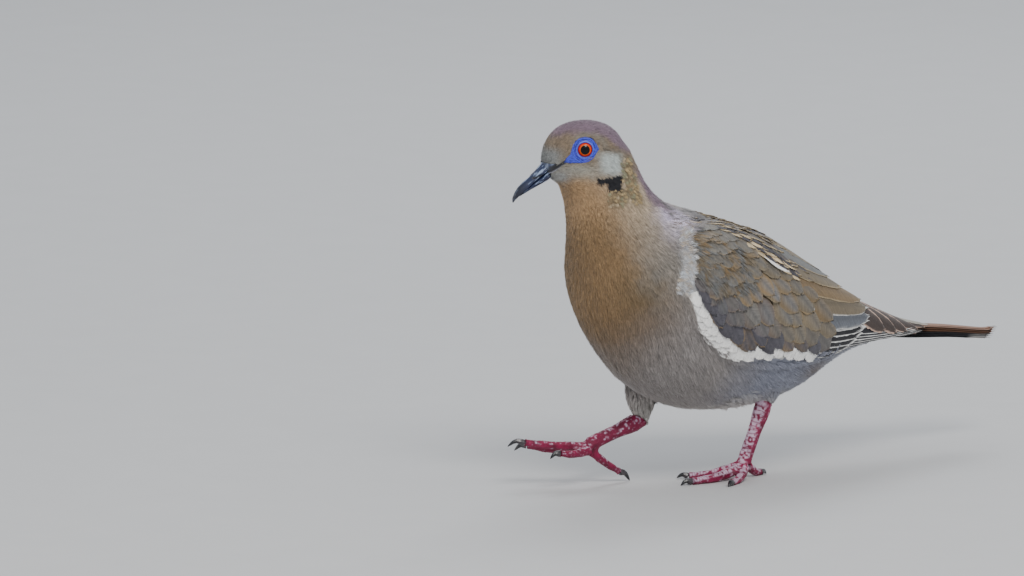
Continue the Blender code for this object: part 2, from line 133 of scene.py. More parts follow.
def make(name, co, faces, materials, tint, stands_for=(), lay=None, uv=None, parts=None):
    """One mesh piece on the root body, from arrays. faces is a list of (n, 3) or (n, 4) index arrays, and
    tint the colour at each corner. lay is where a corner lies on its feather; parts picks materials."""
    mesh = bpy.data.meshes.new(name)
    mesh.vertices.add(len(co))
    mesh.vertices.foreach_set("co", floats(co * MM))
    corners = np.concatenate([f.ravel() for f in faces])
    sizes = np.concatenate([np.full(len(f), f.shape[1]) for f in faces])
    mesh.loops.add(len(corners))
    mesh.loops.foreach_set("vertex_index", corners.astype(np.int32))
    mesh.polygons.add(len(sizes))
    mesh.polygons.foreach_set("loop_start", np.concatenate([[0], np.cumsum(sizes)[:-1]]).astype(np.int32))
    mesh.polygons.foreach_set("use_smooth", np.ones(len(sizes), bool))
    if parts is not None:
        mesh.polygons.foreach_set("material_index", parts.astype(np.int32))
    mesh.update(calc_edges=True)
    rgba = np.concatenate([np.clip(tint, 0, 1), np.ones((len(co), 1))], 1)
    mesh.attributes.new("tint", "FLOAT_COLOR", "POINT").data.foreach_set("color", floats(rgba))
    if lay is not None:
        mesh.attributes.new("lay", "FLOAT_VECTOR", "POINT").data.foreach_set("vector", floats(lay))
    if uv is not None:
        mesh.uv_layers.new(name="OFBake").data.foreach_set("uv", floats(uv[corners]))
    for m in materials:
        mesh.materials.append(m)
    piece = put(name, mesh)
    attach(piece, "root")
    if stands_for:
        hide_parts(*stands_for)


def joined(parts):
    """Several (corners, faces) put together as one."""
    co, faces = zip(*parts)
    starts = np.cumsum([0] + [len(c) for c in co])
    return np.concatenate(co), np.concatenate([f + start for f, start in zip(faces, starts)])


def quads(rows, columns, ring=(0, 0), flip=False):
    """The cells of a grid of corners. ring is (1, 0) or (0, 1) where its rows or columns close in a ring."""
    grid = np.pad(np.arange(rows * columns).reshape(rows, columns), ((0, ring[0]), (0, ring[1])), mode="wrap")
    cells = np.stack([grid[:-1, :-1], grid[1:, :-1], grid[1:, 1:], grid[:-1, 1:]], -1).reshape(-1, 4)
    return cells[:, ::-1] if flip else cells


def arrays_of(mesh):
    """Corners and triangles of a mesh."""
    mesh.calc_loop_triangles()
    co = np.empty(len(mesh.vertices) * 3)
    mesh.vertices.foreach_get("co", co)
    faces = np.empty(len(mesh.loop_triangles) * 3, np.int32)
    mesh.loop_triangles.foreach_get("vertices", faces)
    return co.reshape(-1, 3), faces.reshape(-1, 3)


def triangles_of(names):
    """Corners and triangles of CAD nodes, in millimetres."""
    parts = []
    for name in names:
        co, faces = arrays_of(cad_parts[name].data)
        m = np.array(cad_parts[name].matrix_world)
        parts.append(((co @ m[:3, :3].T + m[:3, 3]) / MM, faces))
    return joined(parts)


def normals_of(co, faces):
    n = np.zeros_like(co)
    face = np.cross(co[faces[:, 1]] - co[faces[:, 0]], co[faces[:, 2]] - co[faces[:, 0]])
    for k in range(3):
        np.add.at(n, faces[:, k], face)
    return unit(n)


def welded(co, faces, apart=0.01):
    """Joins corners that lie together, so that vertex normals run smoothly."""
    key = np.round(co / apart).astype(np.int64)
    _, first, back = np.unique(key, axis=0, return_index=True, return_inverse=True)
    faces = back.ravel()[faces]
    keep = (faces[:, 0] != faces[:, 1]) & (faces[:, 1] != faces[:, 2]) & (faces[:, 2] != faces[:, 0])
    return co[first], faces[keep]


def remeshed(names, voxel, grow, smooth):
    """The nodes run together into one closed skin: grown so that thin cuts close, then drawn back."""
    parts = []
    for name in names:
        co, faces = welded(*triangles_of([name]))
        parts.append((co + normals_of(co, faces) * grow, faces))
    co, faces = joined(parts)
    mesh = bpy.data.meshes.new("draft")
    mesh.from_pydata((co * MM).tolist(), [], faces.tolist())
    draft = put("draft", mesh)
    modifier = draft.modifiers.new("run together", "REMESH")
    modifier.mode = "VOXEL"
    modifier.voxel_size = voxel * MM
    modifier = draft.modifiers.new("soften", "SMOOTH")
    modifier.factor = 0.5
    modifier.iterations = smooth
    co, faces = arrays_of(draft.evaluated_get(bpy.context.evaluated_depsgraph_get()).to_mesh())
    bpy.data.objects.remove(draft, do_unlink=True)
    co = co / MM
    return co - normals_of(co, faces) * grow, faces


def tree_of(co, faces):
    return BVHTree.FromPolygons(co.tolist(), faces.tolist(), epsilon=0.0)


def nearest(tree, points):
    """Nearest places and normals on a surface."""
    at, normal = np.empty_like(points), np.empty_like(points)
    for i, p in enumerate(points):
        hit = tree.find_nearest(p)
        at[i], normal[i] = hit[0], hit[1]
    return at, normal


# ---------------------------------------------------------------- where things are on the bird

def box(name):
    """The low and the high corner of a node, in millimetres."""
    low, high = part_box(name)
    return np.array(low) / MM, np.array(high) / MM


def spot(name, x, y, z):
    """A place in a node's box, given in shares of its sides."""
    low, high = box(name)
    return low + (high - low) * (x, y, z)


EYES = {side: spot(f"eye_{name}", 0.5, 0.5, 0.5) for name, side in SIDES.items()}
BROW = (EYES[1] + EYES[-1]) / 2
HEAD_OUT = unit(EYES[1] - EYES[-1])
HEAD_FORE = unit(np.cross(HEAD_OUT, UP))
EYE_R = (box("eye_left")[1][2] - box("eye_left")[0][2]) / 2


def head_place(p):
    """Forward, outward (left is positive) and upward of the point between the eyes."""
    r = p - BROW
    return r @ HEAD_FORE, r @ HEAD_OUT, r[..., 2]


# The middle line of the body from the bill to the tail's end.
SPINE = np.array([
    spot("head", 0.03, 0.5, 0.53), spot("head", 0.32, 0.5, 0.61), spot("head", 0.6, 0.5, 0.49),
    spot("neck", 0.3, 0.5, 0.62), spot("neck", 0.43, 0.5, 0.38), spot("neck", 0.53, 0.5, 0.265),
    spot("trunk", 0.24, 0.5, 0.714), spot("trunk", 0.32, 0.5, 0.609), spot("trunk", 0.4225, 0.5, 0.494),
    spot("trunk", 0.555, 0.5, 0.394), spot("trunk", 0.703, 0.5, 0.335), spot("trunk", 0.835, 0.5, 0.309),
    spot("rump", 0.5, 0.5, 0.48), spot("tail", 0.0, 0.5, 0.72), spot("tail", 1.0, 0.5, 0.2),
])
SPINE[:3, 1] = BROW[1]
SPINE_LEGS = np.linalg.norm(np.diff(SPINE, axis=0), axis=1)
SPINE_AT = np.concatenate([[0], np.cumsum(SPINE_LEGS)])


def along(p):
    """How far down the middle line the nearest place lies, the line's direction there, and the
    angle round it: 0 on the back, 180 underneath."""
    weight_sum = where = way = middle = 0.0
    for i in range(len(SPINE) - 1):
        a, b = SPINE[i], SPINE[i + 1]
        t = np.clip((p - a) @ (b - a) / (SPINE_LEGS[i] ** 2), 0, 1)
        q = a + t[:, None] * (b - a)
        w = 1.0 / (np.linalg.norm(p - q, axis=1) + 0.5) ** 10       # so sharp that the nearest leg rules
        weight_sum = weight_sum + w
        where = where + w * (SPINE_AT[i] + t * SPINE_LEGS[i])
        way = way + w[:, None] * unit(b - a)
        middle = middle + w[:, None] * q
    where = where / weight_sum
    way = unit(way / weight_sum[:, None])
    out = p - middle / weight_sum[:, None]
    out = out - dot(out, way)[:, None] * way
    dorsal = unit(np.cross(way, (0.0, 1.0, 0.0)))
    dorsal = np.where(dot(dorsal, np.array([0.5, 0.0, 1.0]))[:, None] < 0, -dorsal, dorsal)
    high = dot(out, dorsal)
    angle = np.degrees(np.arctan2(np.abs(out[:, 1] - high * dorsal[:, 1]), high))
    return where, way, angle, out


# The wings' surface, read as a distance from the body's own middle line at each place along X and
# each angle from the back, and carried on smoothly past the wings' rims.
WING_FROM = box("wing_left")[0][0]
WING_TO = box("primaries_left")[1][0]
WING_RISE = 0.4                     # how far the wing's own feathers stand above the flesh past its rims
FAR = 80.0                          # outside the bird, as a distance from its middle line


def middle_height(x):
    """The height of the trunk's middle line."""
    rows = SPINE[6:]
    return np.interp(x, rows[:, 0], rows[:, 2])


def read_shell():
    """The surface's places, angles and radii, and the angle of the wing's lower rim at each place."""
    wing = tree_of(*triangles_of(["wing_left", "primaries_left"]))
    flesh = tree_of(*triangles_of(["trunk", "rump", "neck", "tail"]))
    xs = np.arange(WING_FROM - 4.0, WING_TO + 8.0, 1.5)
    angles = np.arange(0.0, 136.0, 2.5)
    radius = np.zeros((len(xs), len(angles)))
    low = np.zeros(len(xs))
    for i, x in enumerate(xs):
        centre = Vector((x, 0.0, middle_height(x)))
        for j, angle in enumerate(angles):
            a = math.radians(max(angle, 0.6))
            way = Vector((0.0, -math.sin(a), math.cos(a)))
            hit = wing.ray_cast(centre + way * FAR, -way, FAR)
            if hit[0] is not None:
                radius[i, j] = FAR - hit[3]
                low[i] = angle
            else:
                hit = flesh.ray_cast(centre + way * FAR, -way, FAR)
                radius[i, j] = FAR - hit[3] + WING_RISE * (angle > 60) if hit[0] is not None else 0.0
    for i in range(len(xs)):
        known = radius[i] > 0
        if known.any():
            radius[i] = np.interp(angles, angles[known], radius[i][known])
        else:
            radius[i] = radius[i - 1]
    for _ in range(2):
        padded = np.pad(radius, 1, mode="edge")
        radius = (padded[:-2, 1:-1] + padded[2:, 1:-1] + padded[1:-1, :-2] + padded[1:-1, 2:]
                  + 2 * padded[1:-1, 1:-1]) / 6
    return xs, angles, radius, low


SHELL_X, SHELL_A, SHELL_R, SHELL_LOW = read_shell()


def shell(x, angle, side):
    """Places on the wings' surface. side is 1 on the left and -1 on the right."""
    i = np.clip((x - SHELL_X[0]) / (SHELL_X[1] - SHELL_X[0]), 0, len(SHELL_X) - 1.001)
    j = np.clip(np.abs(angle) / (SHELL_A[1] - SHELL_A[0]), 0, len(SHELL_A) - 1.001)
    i0, j0 = i.astype(int), j.astype(int)
    fi, fj = i - i0, j - j0
    r = (SHELL_R[i0, j0] * (1 - fi) * (1 - fj) + SHELL_R[i0 + 1, j0] * fi * (1 - fj)
         + SHELL_R[i0, j0 + 1] * (1 - fi) * fj + SHELL_R[i0 + 1, j0 + 1] * fi * fj)
    a = np.radians(angle)
    return np.stack([x, -side * r * np.sin(a), middle_height(x) + r * np.cos(a)], -1)


def shell_under(p, side):
    """The wings' surface under or over any places, and its outward normal."""
    x = p[..., 0]
    angle = np.degrees(np.arctan2(-side * p[..., 1], p[..., 2] - middle_height(x)))
    at = shell(x, angle, side)
    ahead = shell(x + 1.5, angle, side) - shell(x - 1.5, angle, side)
    down = shell(x, angle + 3, side) - shell(x, angle - 3, side)
    return at, unit(np.cross(ahead, down)) * -side


# ---------------------------------------------------------------- colours, linear

MAUVE = lin(128, 108, 122)
MAUVE_PALE = lin(232, 222, 244)
FACE = lin(133, 117, 98)
FACE_GREY = lin(139, 141, 140)
EAR = lin(188, 196, 194)
CHEEK = lin(160, 157, 146)
BROW_PALE = lin(134, 128, 117)
BREAST = lin(136, 109, 75)
BREAST_PALE = lin(164, 133, 96)
BREAST_DEEP = lin(109, 90, 70)
NECK_SIDE = lin(186, 168, 144)
NECK_GREY = lin(134, 130, 124)
EDGE_PALE = lin(208, 216, 225)
BELLY = lin(145, 139, 136)
FLANK = lin(138, 142, 158)
SHANK_PALE = lin(206, 202, 194)
VENT = lin(150, 152, 160)
FLANK_REAR = lin(116, 106, 102)
BACK = lin(122, 118, 118)
BLACK = lin(16, 16, 24)
GOLD = lin(170, 148, 108)
GREEN = lin(134, 132, 104)

COVERT = lin(116, 104, 84)
COVERT_GREY = lin(112, 112, 110)
COVERT_BROWN = lin(130, 108, 76)
COVERT_BLUE = lin(122, 128, 136)
SLATE = lin(80, 78, 85)
SLATE_DARK = lin(60, 56, 62)
WHITE = lin(252, 250, 246)
CREAM = lin(188, 168, 134)
BUFF = lin(196, 166, 148)
BROWN = lin(72, 58, 52)
INK = lin(22, 22, 30)
RUFOUS = lin(132, 88, 58)
TAIL_GREY = lin(118, 118, 124)
RUMP = lin(112, 112, 120)
TAN_GREY = lin(150, 144, 132)


def gape_line(fore, up):
    """How far above the line of the closed mouth, carried back to the corner of the gape."""
    return up + 4.8 + 0.82 * (fore - 9.4)


def bill_skin(p):
    """True on the bare horn that runs back from the bill to the corner of the mouth."""
    fore, _, up = head_place(p)
    over = gape_line(fore, up)
    wedge = (fore > 12.6 + 0.25 * over) & (up < -6.3) & (over > -0.9 - 1.6 * step(14.5, 17.5, fore))
    line = (np.abs(over) < 0.55) & (fore > 9.0) & (fore < 20)
    return wedge | line


def trunk_colour(p, q, a, angle, rough):
    """Warm breast, paler neck sides, grey belly and flanks. q and a are the place along the body and
    the angle round it, both made uneven."""
    front = step(60, 140, a)
    colour = mix(NECK_SIDE, mix(BREAST_PALE, BREAST, step(26, 44, q)), front)
    colour = mix(colour, BREAST_DEEP, step(62, 90, q) * front)
    colour = mix(colour, NECK_GREY, step(38, 60, q) * (1 - step(88, 134, a)) * 0.85)
    edge = step(WING_FROM - 1.5, WING_FROM + 3, p[:, 0] + 2.4 * rough) * (1 - step(92, 106, angle))
    edge = edge * step(50, 64, a) * step(55, 70, q) * (0.8 + 0.4 * noise(p, 1.2, 12))
    colour = mix(colour, EDGE_PALE, np.clip(edge, 0, 1))
    colour = mix(colour, BELLY, step(64, 94, q - 0.10 * (a - 120)))
    colour = mix(colour, FLANK, step(108, 136, q) * (1 - step(130, 172, a)) * 0.9)
    colour = mix(colour, VENT, step(160, 182, q) * 0.8)
    colour = mix(colour, SHANK_PALE, 0.8 * (1 - step(0.0, 14.0, p[:, 2] - box("trunk")[0][2] + 4)))
    # Painted shade: a darker, greyer patch low on each side of the breast.
    painted_shade_patch = blob((p[:, 0] + 84, 9), (p[:, 2] - 93, 13)) * step(8, 17, np.abs(p[:, 1]))
    colour = colour * (1 - painted_shade_patch[:, None] * (0.28, 0.2, 0.1))
    colour = mix(colour, FLANK_REAR, blob((p[:, 0] - 12, 9), (angle - 120, 12)) * 0.9)
    colour = mix(colour, BACK, (1 - step(34, 50, a)) * step(58, 68, q))
    # Nape and hindneck: a mauve band that fades into a lilac patch on the neck's side.
    colour = mix(colour, MAUVE_PALE, np.clip(blob((q - 54, 8), (a - 46, 20)) * 1.3, 0, 0.95))
    return mix(colour, MAUVE, (1 - step(44, 60, a)) * (1 - step(50, 58, q)) * step(20, 28, q))


def face_colour(fore, out, up, rough):
    """Brown face, mauve crown, pale ear and cheek."""
    face = mix(FACE, FACE_GREY, step(9, 15, fore) * (1 - step(-3, 2, up)))
    ring = np.hypot(fore, up - 0.3)
    face = mix(face, BROW_PALE, blob((ring - 6.6, 1.5)) * step(-2, 3, up) * 0.7)
    crown_line = up - 7.2 + 0.3 * np.clip(fore - 5, 0, 20) + 0.6 * np.clip(-fore - 4, 0, 14) + rough * 0.8
    face = mix(face, MAUVE, step(-1.5, 1.6, crown_line))
    ear = blob((fore + 9.5, 6.0), (up + 5.4, 4.4), power=4) * (out > 3)
    face = mix(face, EAR, np.clip(ear * 1.1, 0, 0.9))
    cheek = blob((fore - 5, 9.0), (up + 10, 3.8)) * (out > 2)
    return mix(face, CHEEK, np.clip(cheek * 1.2, 0, 0.95))


def ear_mark(p, fore, out, up):
    """How black the ragged mark under the ear is."""
    ragged = noise(p, 1.1, 5)
    tall = 1.0 + 0.5 * step(4, 9, -fore)
    bar = 1 - step(0.0, 0.5, np.abs(up + 12.3 + 0.05 * (fore + 8)) - tall + 0.45 * ragged)
    bar = bar * (1 - step(14.0, 14.6, -fore + 0.3 * ragged)) * step(1.6, 2.6, -fore + 0.7 * ragged)
    away = (((fore + 10.4) / 3.1) ** 4 + ((up + 14.3) / 2.5) ** 4) ** 0.25
    lobe = 1 - step(0.8, 1.15, away + 0.15 * ragged)
    return np.clip(bar + lobe, 0, 1) * (out > 5)


def gold_zone(fore, out, up):
    """How much of the golden sheen lies behind and below the ear."""
    behind = blob((fore + 17.6 - 0.25 * (up + 10), 3.2), (up + 13.0, 9.5), power=4)
    below = blob((fore + 12.0, 5.0), (up + 19.5 + 0.2 * (fore + 12), 3.6), power=4)
    return np.clip(behind + below * 0.8, 0, 1) * (out > 6)


def markings(p):
    """The colour of the plumage at places on the bird."""
    where, _, angle, _ = along(p)
    fore, out, up = head_place(p)
    out = np.abs(out)
    rough = noise(p, 3.0, 1)
    coarse = noise(p, 9.0, 2)
    q = where + coarse * 2.5
    colour = trunk_colour(p, q, angle + rough * 5 + coarse * 5, angle, rough)
    on_head = 1 - step(-3.5, 3.5, -up - 11.5 - 0.3 * np.clip(-fore, -8, 6) - 1.8 * step(-2, 6, fore) + rough)
    colour = mix(colour, face_colour(fore, out, up, rough), on_head * (1 - step(26, 34, q)))
    chin = blob((fore - 12.5, 4.5), (up + 12.0, 2.5))
    colour = mix(colour, FACE_GREY * 1.35, np.clip(chin * 1.2, 0, 0.9))
    stripe = blob((up - 0.1 - 0.06 * (fore + 5), 0.5)) * step(4.6, 5.6, -fore) * (1 - step(10, 15, -fore))
    colour = colour * (1 - 0.65 * stripe * (out > 5))[:, None]
    # The sheen is broken into small scales. Under the scallops it is halved: painted shade in the gaps
    # between them.
    sheen = mix(GOLD, GREEN, step(-0.1, 0.5, noise(p, 2.2, 4)) * 0.6) * 0.5
    colour = mix(colour, sheen, np.clip(gold_zone(fore, out, up) * 1.2, 0, 0.85))
    colour = mix(colour, BLACK, ear_mark(p, fore, out, up))
    return colour * (1 + 0.04 * coarse + 0.04 * rough)[:, None]


# ---------------------------------------------------------------- materials

def material(name):
    """A new material with its nodes and its shader."""
    m = bpy.data.materials.new(name)
    m.use_nodes = True
    return m, m.node_tree, m.node_tree.nodes["Principled BSDF"]


def node(tree, kind, **values):
    """A new node. in_ before a name sets an input of it, and any other name a property."""
    n = tree.nodes.new(kind)
    for key, value in values.items():
        if key.startswith("in_"):
            n.inputs[key[3:].replace("_", " ")].default_value = value
        else:
            setattr(n, key, value)
    return n


def maths(tree, operation, *values):
    """A sum worked out by the material. Each value is a socket or a plain number."""
    n = node(tree, "ShaderNodeMath", operation=operation)
    for socket, value in zip(n.inputs, values):
        if isinstance(value, (int, float)):
            socket.default_value = value
        else:
            tree.links.new(value, socket)
    return n.outputs[0]


def scaled(tree, colour, factor):
    """A colour made lighter or darker by a factor."""
    n = node(tree, "ShaderNodeVectorMath", operation="SCALE")
    tree.links.new(colour, n.inputs[0])
    tree.links.new(factor, n.inputs["Scale"])
    return n.outputs[0]


def barb_lines(tree):
    """Fine lines that run out and forward from each feather's shaft."""
    lay = node(tree, "ShaderNodeAttribute", attribute_name="lay")
    parts = node(tree, "ShaderNodeSeparateXYZ")
    tree.links.new(lay.outputs["Vector"], parts.inputs[0])
    down, across, number = parts.outputs
    wave = node(tree, "ShaderNodeCombineXYZ")
    tree.links.new(maths(tree, "SUBTRACT", down, maths(tree, "ABSOLUTE", across)), wave.inputs[0])
    tree.links.new(maths(tree, "MULTIPLY", across, 0.12), wave.inputs[1])
    tree.links.new(number, wave.inputs[2])
    lines = node(tree, "ShaderNodeTexNoise", in_Scale=1.5, in_Detail=4.0, in_Roughness=0.72)
    tree.links.new(wave.outputs[0], lines.inputs["Vector"])
    return lines.outputs["Fac"]


def painted(name, scale, detail, broken, spread, relief, barbs=False, **looks):
    """A surface in its piece's own tint, broken by a grain of the given scale and spread, and by barbs."""
    m, tree, shader = material(name)
    tint = node(tree, "ShaderNodeAttribute", attribute_name="tint")
    places = node(tree, "ShaderNodeTexCoord")
    grain = node(tree, "ShaderNodeTexNoise", in_Scale=scale, in_Detail=detail, in_Roughness=broken)
    tree.links.new(places.outputs["Object"], grain.inputs["Vector"])
    height = grain.outputs["Fac"]
    shade = maths(tree, "MULTIPLY_ADD", height, spread, 1.0 - spread / 2)
    if barbs:
        height = barb_lines(tree)
        shade = maths(tree, "MULTIPLY", shade, maths(tree, "MULTIPLY_ADD", height, 1.3, 0.35))
    tree.links.new(scaled(tree, tint.outputs["Color"], shade), shader.inputs["Base Color"])
    bump = node(tree, "ShaderNodeBump", in_Strength=relief, in_Distance=0.0002)
    tree.links.new(height, bump.inputs["Height"])
    tree.links.new(bump.outputs[0], shader.inputs["Normal"])
    for key, value in looks.items():
        shader.inputs[key.replace("_", " ")].default_value = value
    return m


def feather_material(name, sheen, rough, barbs=False):
    return painted(name, 900.0, 3.0, 0.6, 0.5, 0.35, barbs, Roughness=rough, Specular_IOR_Level=0.35,
                   Sheen_Weight=sheen, Sheen_Roughness=0.5)


def horn_material(name, rough, coat, scale, spread, coat_rough=0.25, **looks):
    return painted(name, scale, 5.0, 0.65, spread, 0.3, Roughness=rough, Coat_Weight=coat,
                   Coat_Roughness=coat_rough, **looks)


TUFT = feather_material("tufts", 0.25, 0.62)
VANE = feather_material("vanes", 0.1, 0.55, barbs=True)
SKIN = horn_material("bare skin", 0.55, 0.1, 1400.0, 0.3)
SCALES = horn_material("leg scales", 0.6, 0.04, 2200.0, 0.9)
HORN = horn_material("bill horn", 0.42, 0.25, 1500.0, 0.5)
CLAW = horn_material("claw horn", 0.3, 0.5, 900.0, 0.1)
EYE = horn_material("eye surface", 0.3, 0.45, 1800.0, 0.1, coat_rough=0.04, Specular_IOR_Level=0.05)


# ---------------------------------------------------------------- the bare skin's outline

EYE_LEAN = math.radians(14)


def eye_axes(side):
    """Where an eye looks, with its forward and upward ways. side 1 is left."""
    out = HEAD_OUT * side
    gaze = unit(out * math.cos(EYE_LEAN) + HEAD_FORE * math.sin(EYE_LEAN))
    fore = unit(HEAD_FORE - gaze * (HEAD_FORE @ gaze))
    return gaze, fore, UP


# The outline of the bare skin: degrees from straight forward (up is positive), and millimetres out.
BARE_REACH = (
    (-180, 5.7), (-165, 4.7), (-150, 4.5), (-120, 4.6), (-90, 4.9), (-60, 5.9), (-45, 7.4), (-35, 9.2),
    (-29, 10.8), (-24, 8.8), (-15, 6.4), (0, 5.5), (45, 5.2), (90, 4.9), (150, 4.9), (170, 5.3), (180, 5.7),
)


def bare_edge(turn):
    """How far the bare skin reaches from the eye's middle, by the angle from forward."""
    degrees = (np.degrees(turn) + 180) % 360 - 180
    return from_table(degrees, BARE_REACH)


def bare(p, margin=-0.1):
    """True where places on the head lie on the bare skin round an eye."""
    result = np.zeros(len(p), bool)
    for side, centre in EYES.items():
        gaze, fore, up = eye_axes(side)
        r = p - centre
        f, u = r @ fore, r @ up
        inside = np.hypot(f, u) < bare_edge(np.arctan2(u, f)) + margin
        result |= inside & (r @ gaze > -3)
    return result


# ---------------------------------------------------------------- skin

FLESH = ["head", "neck", "trunk", "rump", "shank_left", "shank_right", "wing_left", "wing_right"]
OUTER, OUTER_FACES = remeshed(FLESH, 1.0, 0.5, 5)
OUTER_NORMALS = normals_of(OUTER, OUTER_FACES)
OUTER_TREE = tree_of(OUTER, OUTER_FACES)


def coat_depth(p):
    """How far the skin lies below the outside of the coat."""
    where, _, angle, _ = along(p)
    wing = step(WING_FROM, WING_FROM + 15, p[:, 0]) * (1 - step(96, 114, angle))
    return 0.5 + 0.4 * step(14, 60, where) + 0.5 * wing + 1.2 * bare(p, -0.6)


SKIN_CO = OUTER - OUTER_NORMALS * coat_depth(OUTER)[:, None]


def unwrap(p):
    """The skin's own unwrap: along the body one way and round it the other."""
    where, _, angle, _ = along(p)
    side = np.where(p[:, 1] < 0, -1.0, 1.0)
    return np.stack([0.02 + 0.95 * where / SPINE_AT[-1], 0.5 + side * angle / 180 * 0.475], -1)


def eased(co, faces, middle, reach, rounds):
    """Corners round a place, relaxed so that the parts that meet there run together."""
    ease = blob((np.linalg.norm(co - middle, axis=1), reach), power=4)[:, None] * 0.6
    start, end = faces.T.ravel(), np.roll(faces, -1, 1).T.ravel()
    shared = np.bincount(start, minlength=len(co))[:, None]
    for _ in range(rounds):
        around = np.stack([np.bincount(start, co[end, k], len(co)) for k in range(3)], -1) / shared
        co = co + (around - co) * ease
    return co


def scutes(co, name):
    """Plates across the front of a tarsus or toe, and grains behind. Gives how far each place lies from
    the CAD node, how high it is raised and how pale it is."""
    part, faces = triangles_of([name])
    centre = part.mean(0)
    axis = np.linalg.svd(part - centre)[2][0]
    tarsus = name.startswith("tarsus")
    if (axis[2] if tarsus else -axis[0]) < 0:
        axis = -axis
    tree = tree_of(part, faces)
    away = np.array([tree.find_nearest(p)[3] for p in co])
    t = (co - centre) @ axis
    r = co - centre - t[:, None] * axis
    top = unit(np.cross(np.cross(axis, -REARWARD if tarsus else UP), axis))
    phase = t / (1.7 if tarsus else 1.25) + 0.25 * noise(co, 2.0, 6)
    saw = phase - np.floor(phase)
    plate = step(0.0, 0.22, saw) * (1 - step(0.8, 1.0, saw) * 0.7)
    front = step(0.05, 0.45, dot(unit(r), top))
    pads = 0.5 + 0.5 * noise(co, 0.75, 7)
    height = front * plate * 0.2 + (1 - front) * pads * 0.12 - 0.06
    pale = front * plate * 0.8 + (1 - front) * step(0.5, 0.9, pads) * 0.5
    return away, height, pale


def leg_skin(side):
    """Tarsus and toes of one leg in one finer skin, with its colour."""
    names = [f"tarsus_{side}"] + [f"toe_{toe}_{side}" for toe in TOES]
    co, faces = remeshed(names, 0.34, 0.95, 3)
    shin = triangles_of(names[:1])[0].mean(0)
    toes = [triangles_of([name])[0] for name in names[1:]]
    joint = np.mean([toe[np.argmin(np.linalg.norm(toe - shin, axis=1))] for toe in toes], 0)
    co = eased(co, faces, joint, 4.5, 24)
    away, height, pale = (np.stack(v) for v in zip(*(scutes(co, name) for name in names)))
    nearest_part = away.argmin(0), np.arange(len(co))
    pale = pale[nearest_part]
    co = co + normals_of(co, faces) * height[nearest_part][:, None]
    standing = side == "left"
    if standing:                # it runs up into its feathers
        co[:, 2] += 2.6 * step(-2.4, -0.4, co[:, 2] - box(names[0])[1][2])
    clean = 0.2 if standing else 0.5
    dusty = step(clean, clean + 0.4, noise(co, 0.95, 9) * 0.5 + 0.5)
    colour = mix(lin(94, 0, 40), lin(146, 2, 68), noise(co, 2.4, 8) * 0.5 + 0.5)
    colour = mix(colour, lin(222, 198, 222), np.clip(pale * dusty * 0.95, 0, 1))
    return co, faces, colour


def wing_angle(p):
    """Degrees from the back, as the wings' surface counts them."""
    return np.degrees(np.arctan2(np.abs(p[:, 1]), p[:, 2] - middle_height(p[:, 0])))


# Where the wing's and mantle's own feathers take over from the body's: (degrees from the back, how
# far behind the wing's front).
COAT_FRONT = (
    (0, 28.0), (24, 27.0), (36, 21.0), (46, 12.5), (54, 8.5), (64, 6.0), (84, 4.0), (96, 1.5), (110, 2.0),
    (116, 6.0), (125, 18.0),
)


def coat_front(angle):
    """Where along X the wing's own feathers start."""
    return WING_FROM + from_table(angle, COAT_FRONT)


def under_wing(p, margin=-8.0):
    """True where the wing's own feathers lie over the body."""
    low = np.interp(p[:, 0], SHELL_X, SHELL_LOW)
    angle = wing_angle(p)
    return (p[:, 0] > coat_front(angle)) & (angle < low + margin) & (low > 0)


def on_band(p):
    """True where a body feather would lie over the pale feathers along the wing's lower edge."""
    return under_wing(p, -0.8) & (wing_angle(p) > 103)


def build_skin():
    """One skin for body and legs, with the markings of the coat above it."""
    colour = markings(SKIN_CO)
    covered = under_wing(SKIN_CO)
    # Painted shade: under the wing the skin takes the coverts' and the white band's colours at 0.8, and all
    # of the body's skin is a little darker (0.97) than the coat over it.
    colour = mix(colour, COVERT * 0.8, covered & (SKIN_CO[:, 0] > WING_FROM + 9))
    colour = mix(colour, WHITE * 0.8, covered & (wing_angle(SKIN_CO) > 105))
    legs = [leg_skin(side) for side in SIDES]
    co, faces = joined([(SKIN_CO, OUTER_FACES)] + [leg[:2] for leg in legs])
    tint = np.concatenate([colour * 0.97] + [leg[2] for leg in legs])
    on_leg = np.arange(len(faces)) >= len(OUTER_FACES)
    stands_for = [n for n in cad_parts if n.split("_")[0] in
                  ("head", "neck", "trunk", "rump", "shank", "wing", "tarsus", "toe")]
    make("skin", co, [faces], [SKIN, SCALES], tint, stands_for, parts=on_leg)


# ---------------------------------------------------------------- tufts

def on_shank(p):
    """True on the feathered part of a leg."""
    result = np.zeros(len(p), bool)
    for side, above in (("left", 1.0), ("right", -6.0)):    # the right one's top belongs to the flank
        low, high = box(f"shank_{side}")
        result |= ((p > low - 1.2) & (p < high + (1.2, 1.2, above))).all(1)
    return result


def flow_at(p, normal):
    """The lie of the coat: back along the body, out from the bill on the face, down on the flanks."""
    where, way, angle, out = along(p)
    lean = 0.45 * step(44, 84, where) * (1 - step(150, 175, angle)) * step(30, 70, angle)
    around = unit(np.cross(way, out))
    around = around * np.where(around[:, 2:3] > 0, -1.0, 1.0)
    way = way + around * lean[:, None]
    bill = spot("bill_upper", 0.85, 0.5, 0.75)
    face = 1 - step(8, 24, np.linalg.norm(p - bill, axis=1))
    way = way * (1 - face[:, None]) + unit(p - bill) * face[:, None]
    return flat_on(normal, np.where(on_shank(p)[:, None], (0.0, -0.1, -1.0), way))


NEIGHBOURS = [(i - 1, j - 1, k - 1) for i, j, k in np.ndindex(3, 3, 3)]


